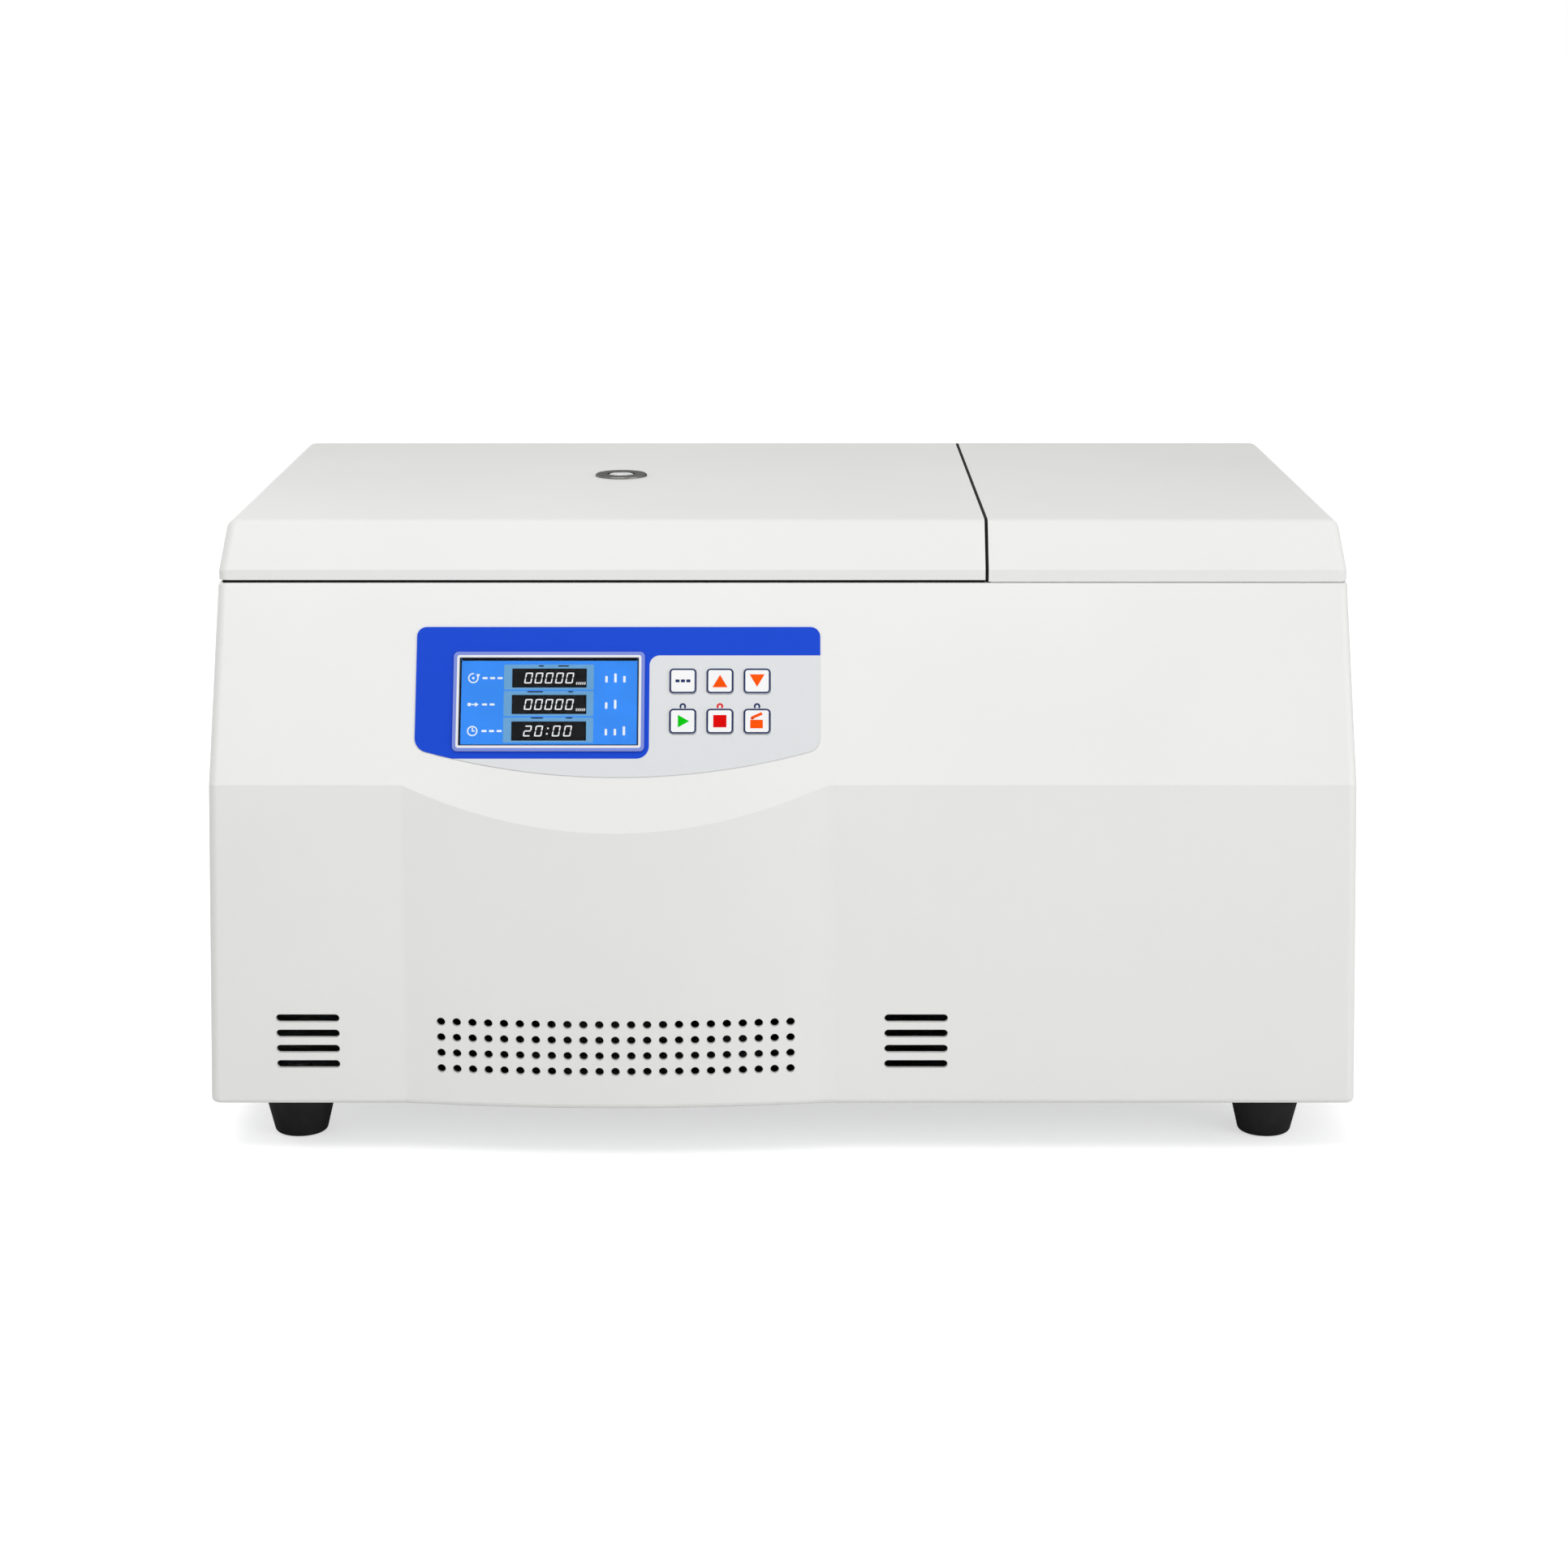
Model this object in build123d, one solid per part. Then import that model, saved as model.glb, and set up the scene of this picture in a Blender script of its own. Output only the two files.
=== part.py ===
from build123d import *
from math import cos, pi, radians, sin, sqrt, tan
import os

# Bench centrifuge for microplates: a wide moulded cabinet, a hinged lid over a round
# chamber on the left and a fixed cover over the electrics on the right.
# Millimetres. The origin is on the bench under the middle of the cabinet,
# +X is to the right, +Y to the back and +Z up.

# ---- Cabinet ----
cabinet_width = 700.0  # over the crease, its widest line
depth = 560.0  # belly to rear edge
foot_height = 34.5
lower_height = 199.0  # cabinet bottom to crease
upper_height = 116.0  # crease to deck
lower_lean = 3.5  # degrees, the bottom stands forward
upper_lean = 24.0  # degrees, the panel leans back
bottom_flare = 3.0  # each side, at the bottom
deck_draft = 1.0  # each side, at the deck
wall = 3.5
corner_radius = 6.0
deck_edge_radius = 2.0
bottom_edge_radius = 3.0
belly_x = -102.5
belly_width = 259.0
belly_rise = 10.5
belly_blend_left = 14.0
belly_blend_right = 60.0
face_gap = 0.3  # between still pieces that stand side by side

# ---- Ventilation in the front ----
slot_length = 39.0
slot_height = 5.0
slot_pitch = 9.6
slot_rows = 4
slot_top_z = 88.5
slot_centres_x = (-292.0, 82.0)
hole_radius = 2.65
hole_pitch = 9.75
hole_columns = 23
hole_rows = 4
hole_top_z = 87.3
vent_reach = 30.0  # cutters reach this far into the front

# ---- Base, feet and screws ----
base_thickness = 4.0
foot_inset = 44.8  # from the crease line's end
front_foot_setback = 63.6  # behind the belly's front
rear_foot_inset = 50.0
foot_top_radius = 24.4
foot_bottom_radius = 16.2
foot_edge_radius = 3.0
foot_recess_radius = 8.0
foot_recess_depth = 14.0
foot_screw_radius = 3.0
foot_screw_head_radius = 5.5
foot_screw_head_height = 4.0
weld_nut_radius = 8.0
weld_nut_height = 7.0
thread_gap = 0.05
screw_radius = 2.0
screw_length = 12.0
screw_head_radius = 4.0
screw_head_height = 2.6
screw_head_dome = 1.0
screw_socket_radius = 1.3
screw_socket_depth = 1.4
boss_radius = 5.5
boss_height = 22.0
screw_hole_gap = 0.3
base_boss_front = 90.0
base_boss_middle = 20.0
base_boss_rear = 80.0
base_vent_rows = 5
base_vent_pitch = 16.0
base_vent_length = 90.0
base_vent_width = 5.0
base_vent_x = 250.0
base_vent_y = 120.0

# ---- Rear panel and partition ----
rear_recess = 6.0  # the panel lies this far inside the rear edge
panel_sheet = 2.0
rear_boss_z = (80.0, 190.0, 300.0)
rear_vent_x = -150.0
rear_vent_z = 120.0
rear_vent_rows = 9
rear_vent_pitch = 12.0
rear_vent_length = 120.0
rear_vent_height = 4.2
partition_offset = 8.0  # left of the seam
partition_sheet = 1.5
partition_flange = 16.0
partition_window_y = 60.0
partition_window_z = 130.0
partition_window_width = 120.0
partition_window_height = 70.0
partition_window_radius = 12.0

# ---- Lid and right cover ----
lid_gap = 1.8
cover_gap = 0.8
lip_height = 6.3
lid_face_height = 29.0
lid_face_lean = 30.0
lid_side_lean = 7.9
lid_ridge_inset = 115.0  # from the rear edge
lid_ridge_rise = 4.7  # from the front crease up to the rear ridge
lid_rear_inset = 58.0
lid_wall = 3.0
seam_offset = 235.0  # right of the chamber's axis
seam_gap = 2.0
lid_side_step = 0.6  # the lid stands this far inside the deck edge
lid_front_radius = 6.0
lid_rear_radius = 24.0
lid_side_edge_radius = 7.0
lid_crease_radius = 6.0
lid_ridge_radius = 50.0
liner_rise = 6.0  # liner underside above the deck
liner_sheet = 1.5
lid_boss_inset_x = 34.0
lid_boss_front_inset = 44.0
lid_boss_rear_inset = 84.0
cover_boss_inset_x = 40.0

# ---- Viewing port ----
port_ring_radius = 17.3
port_ring_height = 1.5
port_sleeve_radius = 12.4
port_hole_radius = 9.4
port_glass_thickness = 4.0
port_glass_depth = 5.0
port_ledge = 1.0
port_edge_radius = 1.0

# ---- Lid hinge ----
hinge_offset_x = 150.0  # each side of the chamber's axis
hinge_inset = 48.5  # from the rear edge
hinge_rise = 12.0  # axis above the deck
hinge_pin_radius = 4.0
hinge_running_gap = 0.05
knuckle_radius = 6.5
knuckle_width = 16.0
ear_thickness = 3.0
ear_radius = 8.0
ear_gap = 0.4
leaf_thickness = 3.0
leaf_depth = 40.0
arm_thickness = 4.0
arm_length = 70.0
arm_notch_gap = 1.0
pin_overhang = 24.0
pin_end = 1.0
pin_head_radius = 6.0
pin_head_height = 2.0
spring_wire_radius = 1.2
spring_radius = 5.5
spring_pitch = 3.0
spring_turns = 5
spring_leg = 7.0
bracket_screw_near = 14.0  # behind the hinge axis
bracket_screw_far = 25.5

# ---- Lid latches ----
latch_offset_x = 165.0
latch_setback = 102.0  # behind the belly's front
striker_width = 20.0
striker_thickness = 4.0
striker_drop = 37.5  # below the liner
striker_bar = 6.5
striker_window_width = 12.0
striker_window_height = 17.5
striker_flange_width = 32.0
striker_flange_depth = 24.0
striker_flange_thickness = 2.5
latch_window_x = 26.0
latch_window_y = 15.0
claw_thickness = 8.0
claw_pivot_back = 12.0  # behind the striker
claw_pivot_drop = 28.5  # below the striker's bar top
claw_boss_radius = 8.0
claw_arm = 8.0
claw_nose = 8.0
claw_nose_reach = 18.0  # in front of the pivot
claw_seat_gap = 0.3
claw_tail = 18.0
claw_pin_radius = 3.0
claw_collar_radius = 5.0
latch_side_gap = 14.0  # from the claw's middle to each side plate
latch_plate = 3.0
latch_frame_front = 24.0
latch_frame_back = 18.0
latch_frame_foot = 10.0
latch_flange = 10.0
solenoid_width = 24.0
solenoid_height = 24.0
solenoid_length = 34.0
plunger_radius = 3.5

# ---- Control panel, on the leaning front (x, and distance up from the crease) ----
overlay_thickness = 0.6
overlay_left = -224.6
overlay_right = 23.0
overlay_top = 98.9
overlay_side_bottom = 22.5
overlay_sag = 17.7  # the lower edge bulges down by this much
overlay_corner_radius = 6.0
overlay_low_radius = 9.0
display_left = -201.6
display_right = -84.5
display_bottom = 20.7
display_top = 83.0
display_corner_radius = 3.0
frame_border = 3.2
frame_height = 1.2
frame_lip = 1.0
window_thickness = 2.0
window_sink = 0.4  # below the frame's face
module_margin = 5.0
module_thickness = 9.0
key_columns_x = (-61.1, -38.4, -15.7)
key_rows_s = (64.7, 39.5)
key_width = 16.3
key_height = 15.6
key_radius = 2.4
key_stand = 1.0  # above the overlay
key_travel = 0.8
key_gap = 0.25
key_flange = 1.6
key_flange_thickness = 1.2
key_stem_radius = 2.0
board_depth = 15.0  # board face behind the outer face
board_thickness = 1.6
board_left = -222.0
board_right = 22.0
board_bottom = 16.0
board_top = 96.0
board_post_radius = 4.0
board_post_inset = 6.0
tact_size = 6.0
tact_height = 3.5
connector_length = 40.0
connector_width = 6.0
connector_height = 8.0

# ---- Chamber ----
chamber_inset = 241.0  # from the crease line's left end
guard_board_gap = 17.9  # from the guard ring to the key board's back edge
chamber_radius = 168.0
chamber_floor_z = 225.0
bowl_wall = 1.2
bowl_corner_radius = 15.0
bowl_flange = 20.0
deck_opening_gap = 2.0
seal_inner = 4.0  # inside edge from the bowl's inner wall
seal_width = 12.0
seal_gap = 0.3
seal_groove = 1.6
guard_gap = 3.5
guard_wall = 7.5
guard_top_gap = 6.0  # below the deck
guard_window_angle = 34.0
guard_window_height = 110.0
guard_windows = 4
guard_foot = 14.0
guard_foot_thickness = 4.0
boot_radius = 30.0
boot_wall = 3.0
boot_flange = 10.0
boot_flange_thickness = 2.5
boot_rib = 3.0
boot_ribs = 3

# ---- Drive ----
damper_radius = 15.0
damper_height = 25.0
damper_waist = 3.0
damper_spacing = 85.0  # each side of the axis
motor_plate_size = 215.0
motor_plate_thickness = 8.0
motor_plate_corner = 14.0
motor_radius = 62.0
motor_height = 120.0
motor_wall = 7.0
motor_cap = 22.0
motor_fin_count = 24
motor_fin_height = 4.0
motor_fin_width = 2.5
motor_fin_inset = 14.0
stator_thickness = 17.0
stator_inset = 6.0
air_gap = 1.0
core_inset = 8.0
bearing_radius = 23.5
bearing_width = 14.0
bearing_fit = 0.02
bearing_ring = 4.0
bearing_shield = 1.0
spindle_radius = 10.0
spindle_top_radius = 9.0
spindle_tip_radius = 6.0
spindle_tip_height = 14.0
spindle_fit = 0.05

# ---- Rotor ----
pivot_z = 285.0
pivot_radius = 88.0  # trunnion axis from the spindle
plate_length = 127.76
plate_width = 85.48
plate_gap = 0.45
carrier_wall = 2.5
carrier_floor = 3.0
carrier_drop = 30.0  # trunnion axis above the carrier's underside
carrier_side_height = 15.0
carrier_ear = 3.5
carrier_ear_radius = 12.0
carrier_window_width = 60.0
carrier_window_length = 100.0
trunnion_radius = 6.0
trunnion_fit = 0.05
trunnion_press = 0.02
carrier_play = 1.0
yoke_thickness = 8.0
yoke_height = 24.0
yoke_end_radius = 12.0
yoke_bridge = 48.0
yoke_bridge_height = 18.0
hub_radius = 28.0
hub_height = 34.0
nut_radius = 14.0
nut_height = 18.0
nut_flutes = 12
nut_flute_radius = 2.0

# ---- Electrics ----
electrics_shift = 1.0  # right of the middle of the right compartment
drive_setback = 220.0
drive_width = 130.0
drive_depth = 200.0
drive_height = 80.0
drive_edge_radius = 3.0
sink_base = 6.0
sink_fin_height = 34.0
sink_fin_thickness = 2.5
sink_fins = 13
fan_z = 205.0
fan_size = 120.0
fan_depth = 38.0
fan_bore_radius = 57.5
fan_corner_radius = 6.0
fan_strut = 5.0
fan_stub_radius = 18.0
fan_stub_depth = 8.0
fan_pin_radius = 2.5
fan_pin_fit = 0.05
fan_hub_radius = 20.0
fan_hub_depth = 26.0
fan_blade_gap = 1.5
fan_blades = 7
fan_blade_thickness = 2.0
fan_blade_chord = 24.0
fan_blade_angle = 35.0
fan_blade_root = 2.0  # inside the hub
guard_wire = 2.5
guard_ring_first = 16.0
guard_ring_pitch = 14.0
guard_ring_count = 4
guard_spokes = 4
inlet_inset = 60.0  # from the crease line's right end
inlet_z = 85.0
inlet_flange_width = 50.0
inlet_flange_height = 32.0
inlet_flange_thickness = 2.5
inlet_body_width = 30.0
inlet_body_height = 22.0
inlet_body_depth = 24.0
inlet_wall = 2.5
inlet_pin_width = 2.0
inlet_pin_height = 4.0
inlet_pin_spacing = 7.0
inlet_pin_rise = 2.0
inlet_pin_recess = 6.0
switch_spacing = 65.0  # left of the inlet
switch_z = 85.0
switch_flange_width = 34.0
switch_flange_height = 26.0
switch_body_width = 30.0
switch_body_height = 22.0
switch_body_depth = 20.0
switch_wall = 2.0
rocker_gap = 0.8
rocker_angle = 14.0
rocker_pin_radius = 1.5
rocker_pin_fit = 0.05
rocker_sink = 2.0

# ---- Worked out ----
cabinet_bottom = foot_height
crease_z = cabinet_bottom + lower_height
deck_z = crease_z + upper_height
rear_y = depth / 2
lower_slope = tan(radians(lower_lean))
upper_slope = tan(radians(upper_lean))
bottom_y = -rear_y + belly_rise / cos(radians(lower_lean))
crease_y = bottom_y + lower_height * lower_slope
crease_half_width = cabinet_width / 2
front_foot_y = -rear_y + front_foot_setback
rear_foot_y = rear_y - rear_foot_inset
foot_x = crease_half_width - foot_inset
base_boss_y = (-rear_y + base_boss_front, base_boss_middle, rear_y - base_boss_rear)
chamber_x = -crease_half_width + chamber_inset
board_back = board_top * sin(radians(upper_lean)) + (board_depth + board_thickness) * cos(radians(upper_lean))
guard_inner = chamber_radius + bowl_wall + guard_gap
guard_outer = guard_inner + guard_wall
chamber_y = round(crease_y + board_back + guard_board_gap + guard_outer, 1)  # to a tenth of a millimetre
seam_x = chamber_x + seam_offset
partition_x = seam_x - partition_offset
lid_ridge_y = rear_y - lid_ridge_inset
lid_rear_y = rear_y - lid_rear_inset
hinge_y = rear_y - hinge_inset
bracket_screws_y = (hinge_y + bracket_screw_near, hinge_y + bracket_screw_far)
latch_y = -rear_y + latch_setback
drive_x = (partition_x + crease_half_width) / 2 + electrics_shift
drive_y = -rear_y + drive_setback
fan_x = drive_x
inlet_x = crease_half_width - inlet_inset
switch_x = inlet_x - switch_spacing
guard_rings = [guard_ring_first + guard_ring_pitch * i for i in range(guard_ring_count)]
base_top = cabinet_bottom + base_thickness
deck_underside = deck_z - wall
rear_panel_outer = rear_y - rear_recess
rear_panel_inner = rear_panel_outer - panel_sheet
big = 2 * (cabinet_width + depth)  # larger than the whole object


def box_between(low, high):
    """A box from its low corner to its high corner."""
    size = [h - l for l, h in zip(low, high)]
    middle = [(l + h) / 2 for l, h in zip(low, high)]
    return Pos(*middle) * Box(*size)


def upright_cylinder(x, y, radius, bottom, top):
    """A cylinder along Z between two heights."""
    return Pos(x, y, (bottom + top) / 2) * Cylinder(radius, top - bottom)


def cylinder_along_x(y, z, radius, low, high):
    """A cylinder along X between two places."""
    return Pos((low + high) / 2, y, z) * Rot(0, 90, 0) * Cylinder(radius, high - low)


def cylinder_along_y(x, z, radius, low, high):
    """A cylinder along Y between two places."""
    return Pos(x, (low + high) / 2, z) * Rot(90, 0, 0) * Cylinder(radius, high - low)


def revolved(x, y, points):
    """A turned piece about an upright axis from its half section (radius, height)."""
    outline = Polyline(*[(r, 0, z) for r, z in points], close=True)
    return Pos(x, y, 0) * revolve(make_face(outline), Axis.Z)


def extruded_along_x(points, low, high):
    """A prism along X from its outline in (y, z)."""
    outline = Polyline(*[(low, y, z) for y, z in points], close=True)
    return extrude(make_face(outline), amount=high - low, dir=(1, 0, 0))


def save(name, *solids):
    """Writes one node, as one solid or as a group of separate solids."""
    shape = solids[0] if len(solids) == 1 else Compound(children=list(solids))
    shape.label = name
    export_step(shape, f"parts/{name}.step")


# ---- The cabinet's block, at any inset from its outer faces ----

def lower_front_y(z, inset=0.0):
    """The lower front face at a height."""
    return crease_y - (crease_z - z) * lower_slope + inset / cos(radians(lower_lean))


def upper_front_y(z, inset=0.0):
    """The leaning upper front face at a height."""
    return crease_y + (z - crease_z) * upper_slope + inset / cos(radians(upper_lean))


def half_width(z):
    """Half the cabinet's width at a height."""
    if z <= crease_z:
        return crease_half_width + bottom_flare * (crease_z - z) / lower_height
    return crease_half_width - deck_draft * (z - crease_z) / upper_height


def panel_plane(out=0.0):
    """The leaning panel: x along the crease, y up the panel, z out of it."""
    lean = radians(upper_lean)
    plane = Plane(origin=(0, crease_y, crease_z), x_dir=(1, 0, 0), z_dir=(0, -cos(lean), sin(lean)))
    return plane.offset(out)


def front_prism(inset):
    """Everything behind the lower front face, with the rounded belly standing out of it."""
    half = belly_width / 2
    arc_radius = (half**2 + belly_rise**2) / (2 * belly_rise)
    lean = radians(lower_lean)
    plane = Plane(origin=(belly_x, crease_y, crease_z), x_dir=(1, 0, 0), z_dir=(0, sin(lean), cos(lean)))
    strip = Pos(0, inset - belly_rise) * Rectangle(belly_width, 4 * belly_rise)
    bulge = Pos(0, arc_radius - belly_rise) * Circle(arc_radius - inset) & strip
    flat = Pos(0, inset + big / 2) * Rectangle(2 * big, big)
    section = (flat + bulge).clean()
    for side, blend in ((-1, belly_blend_left), (1, belly_blend_right)):
        valley = min(section.vertices(), key=lambda v: abs(v.X - side * half) + abs(v.Y - inset))
        section = fillet(valley, blend + inset)
    return plane * extrude(section, amount=cabinet_width, both=True)


def cabinet_block(inset, bottom, top, back):
    """The cabinet as a solid block, its front and sides moved in by the inset."""
    middle = (back - big) / 2
    sections = []
    for z in (bottom, crease_z, top):
        sections.append(Pos(0, middle, z) * Rectangle(2 * (half_width(z) - inset), back + big))
    above = panel_plane(-inset) * Pos(0, 0, big) * Box(2 * big, 2 * big, 2 * big)
    return (loft(sections, ruled=True) & front_prism(inset)) - above


def rounded_cabinet_block():
    """The outer block with its front corners, deck edge and bottom edge rounded."""
    block = cabinet_block(0.0, cabinet_bottom, deck_z, rear_y)
    side_x = crease_half_width - bottom_flare
    corners = edges_on(block, lambda x, y, z: abs(x) > side_x and y < 0 and cabinet_bottom < z < deck_z)
    block = fillet(corners, corner_radius)
    rim = edges_on(block, lambda x, y, z: abs(z - deck_z) < 0.01 and y < rear_y - 0.01)
    block = fillet(rim, deck_edge_radius)
    foot = edges_on(block, lambda x, y, z: abs(z - cabinet_bottom) < 0.01 and y < rear_y - 0.01)
    return fillet(foot, bottom_edge_radius)


def edges_on(shape, test):
    """The edges whose middle passes a test on (x, y, z)."""
    return [edge for edge in shape.edges() if test(*edge.position_at(0.5))]


def inner_slab(low, high, gap):
    """A level slab that fills the cabinet between two heights, less a gap."""
    room = cabinet_block(wall + gap, cabinet_bottom - 1, deck_underside, rear_panel_inner - gap)
    return room & box_between((-big, -big, low), (big, big, high))


# ---- Screws and their places ----

def screw(radius, length, head_radius, head_height):
    """A pan-head screw with its head's seat at the origin and its shank up."""
    head = Pos(0, 0, -head_height / 2) * Cylinder(head_radius, head_height)
    head = fillet(head.edges().sort_by(Axis.Z)[0], screw_head_dome)
    shank = Pos(0, 0, length / 2) * Cylinder(radius, length)
    socket = Pos(0, 0, -head_height + screw_socket_depth / 2)
    hexagon = RegularPolygon(screw_socket_radius, 6)
    return head + shank - socket * extrude(hexagon, screw_socket_depth / 2, both=True)


def small_screw():
    """The screw used all over the case."""
    return screw(screw_radius, screw_length, screw_head_radius, screw_head_height)


base_boss_x = half_width(cabinet_bottom) - wall - boss_radius
base_screw_places = [(side * base_boss_x, y) for side in (-1, 1) for y in base_boss_y]
rear_screw_places = [
    (side * (half_width(z) - wall - boss_radius), z) for side in (-1, 1) for z in rear_boss_z
]
foot_places = {
    "front_left": (-foot_x, front_foot_y),
    "front_right": (foot_x, front_foot_y),
    "rear_left": (-foot_x, rear_foot_y),
    "rear_right": (foot_x, rear_foot_y),
}
damper_places = [
    (chamber_x + sx * damper_spacing, chamber_y + sy * damper_spacing) for sx in (-1, 1) for sy in (-1, 1)
]
screw_hole_radius = screw_radius + screw_hole_gap
thread_radius = screw_radius + thread_gap
latch_places = [chamber_x - latch_offset_x, chamber_x + latch_offset_x]
hinge_places = [chamber_x - hinge_offset_x, chamber_x + hinge_offset_x]
bracket_screw_places = [(x, y) for x in hinge_places for y in bracket_screws_y]


# ---- Top covers: one block for the lid and the right cover, cut at the seam ----

lid_bottom = deck_z + lid_gap
lip_top = lid_bottom + lip_height
lid_crease_z = lip_top + lid_face_height
lid_ridge_z = lid_crease_z + lid_ridge_rise
lid_front_y = upper_front_y(deck_z)
lid_crease_y = lid_front_y + lid_face_height * tan(radians(lid_face_lean))
lid_half_width = half_width(deck_z) - lid_side_step
lid_top_slope = lid_ridge_rise / (lid_ridge_y - lid_crease_y)


def top_block(inset, bottom):
    """The block that both top covers are cut from, its faces moved in by the inset."""
    front = lid_front_y + inset
    rear = lid_rear_y - inset
    shift = inset * tan(radians(45 - lid_face_lean / 2))
    profile = Polyline(
        (0, front, bottom),
        (0, front, lip_top - shift / 2),
        (0, lid_crease_y + shift / 2, lid_crease_z - inset),
        (0, lid_ridge_y - shift / 2, lid_ridge_z - inset),
        (0, rear, lip_top - shift / 2),
        (0, rear, bottom),
        close=True,
    )
    section = make_face(profile)
    by_height = section.vertices().sort_by(Axis.Z)
    section = fillet(by_height[-1], lid_ridge_radius - inset)
    section = fillet(section.vertices().sort_by_distance(by_height[-2])[0], lid_crease_radius - inset / 2)
    half = lid_half_width - inset
    block = extrude(section, amount=half, dir=(1, 0, 0), both=True)
    lean = radians(lid_side_lean)
    for side in (-1, 1):
        out = (side * cos(lean), 0, sin(lean))
        plane = Plane(origin=(side * half, 0, lip_top), x_dir=(0, 1, 0), z_dir=out)
        block -= plane * Pos(0, 0, big / 2) * Box(big, big, big)
    plan = Pos(0, (front + rear) / 2) * Rectangle(2 * half, rear - front)
    by_depth = plan.vertices().sort_by(Axis.Y)
    plan = fillet(by_depth[:2], lid_front_radius - inset / 2)
    plan = fillet(plan.vertices().sort_by(Axis.Y)[-2:], lid_rear_radius - inset)
    return block & extrude(Pos(0, 0, bottom) * plan, amount=lid_ridge_z)


def rounded_top_block(bottom):
    """The outer block with its side edges rounded."""
    block = top_block(0.0, bottom)
    side_x = lid_half_width - lid_face_height * tan(radians(lid_side_lean)) - 1
    middle = lid_ridge_y - lid_ridge_radius / 10
    sides = edges_on(block, lambda x, y, z: abs(x) > side_x and z > lip_top + 1 and abs(y) < middle)
    return fillet(sides, lid_side_edge_radius)


# ---- Casing ----

def slot_cutters():
    """The two groups of level slots low in the front."""
    cutters = []
    for x in slot_centres_x:
        for row in range(slot_rows):
            z = slot_top_z - row * slot_pitch
            slot = Plane(origin=(x, lower_front_y(z), z), z_dir=(0, -1, 0), x_dir=(1, 0, 0))
            cutters.append(slot * extrude(SlotOverall(slot_length, slot_height), vent_reach / 2, both=True))
    return cutters


def perforation_cutters():
    """The rows of round holes across the belly."""
    cutters = []
    for row in range(hole_rows):
        z = hole_top_z - row * hole_pitch
        for column in range(hole_columns):
            x = belly_x + (column - (hole_columns - 1) / 2) * hole_pitch
            y = lower_front_y(z) - belly_rise / 2
            cutters.append(cylinder_along_y(x, z, hole_radius, y - vent_reach / 2, y + vent_reach / 2))
    return cutters


def key_places():
    """The middle of each key on the panel."""
    return [(x, s) for s in key_rows_s for x in key_columns_x]


display_width = display_right - display_left
display_height = display_top - display_bottom
display_x = (display_left + display_right) / 2
display_s = (display_top + display_bottom) / 2
window_width = display_width - 2 * frame_border
window_height = display_height - 2 * frame_border
key_hole_width = key_width + 2 * key_gap
key_hole_height = key_height + 2 * key_gap
key_hole_radius = key_radius + key_gap
board_x = (board_left + board_right) / 2
board_s = (board_bottom + board_top) / 2
post_x = (board_right - board_left) / 2 - board_post_inset
post_s = (board_top - board_bottom) / 2 - board_post_inset
post_places = [(board_x + i * post_x, board_s + j * post_s) for i in (-1, 1) for j in (-1, 1)]


def make_housing():
    """The moulded front, sides and deck in one shell, open below and behind."""
    shell = rounded_cabinet_block()
    shell -= cabinet_block(wall, cabinet_bottom - 1, deck_underside, rear_y + 1)
    for x, y in base_screw_places:
        side = 1 if x > 0 else -1
        post = upright_cylinder(x, y, boss_radius, base_top, base_top + boss_height)
        web_end = side * (half_width(base_top + boss_height) - wall / 2)
        low_x, high_x = sorted((x, web_end))
        web = box_between((low_x, y - wall / 2, base_top), (high_x, y + wall / 2, base_top + boss_height))
        shell += post + web
        shell -= upright_cylinder(x, y, thread_radius, base_top, base_top + screw_length)
    for x, z in rear_screw_places:
        side = 1 if x > 0 else -1
        front = rear_panel_inner - boss_height
        post = cylinder_along_y(x, z, boss_radius, front, rear_panel_inner)
        low_x, high_x = sorted((x, side * (half_width(z) - wall / 2)))
        web = box_between((low_x, front, z - wall / 2), (high_x, rear_panel_inner, z + wall / 2))
        shell += post + web
        shell -= cylinder_along_y(x, z, thread_radius, rear_panel_inner - screw_length, rear_panel_inner)
    for x, s in post_places:
        post = Pos(x, s, -board_depth / 2) * Cylinder(board_post_radius, board_depth)
        shell += panel_plane() * post
    shell -= upright_cylinder(
        chamber_x, chamber_y, chamber_radius + bowl_wall + deck_opening_gap, deck_underside - 1, deck_z + 1
    )
    for x in latch_places:
        low = (x - latch_window_x / 2, latch_y - latch_window_y / 2, deck_underside - 1)
        high = (x + latch_window_x / 2, latch_y + latch_window_y / 2, deck_z + 1)
        shell -= box_between(low, high)
    cutters = [Pos(display_x, display_s) * Box(window_width, window_height, 3 * wall)]
    cutters += [Pos(x, s) * Box(key_hole_width, key_hole_height, 3 * wall) for x, s in key_places()]
    shell -= [panel_plane() * cutter for cutter in cutters]
    for x, y in cover_screw_places:
        shell -= upright_cylinder(x, y, screw_hole_radius, deck_underside - 1, deck_z + 1)
    for x, y in bracket_screw_places:
        shell -= upright_cylinder(x, y, thread_radius, deck_underside - 1, deck_z + 1)
    return shell - (slot_cutters() + perforation_cutters())


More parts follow.
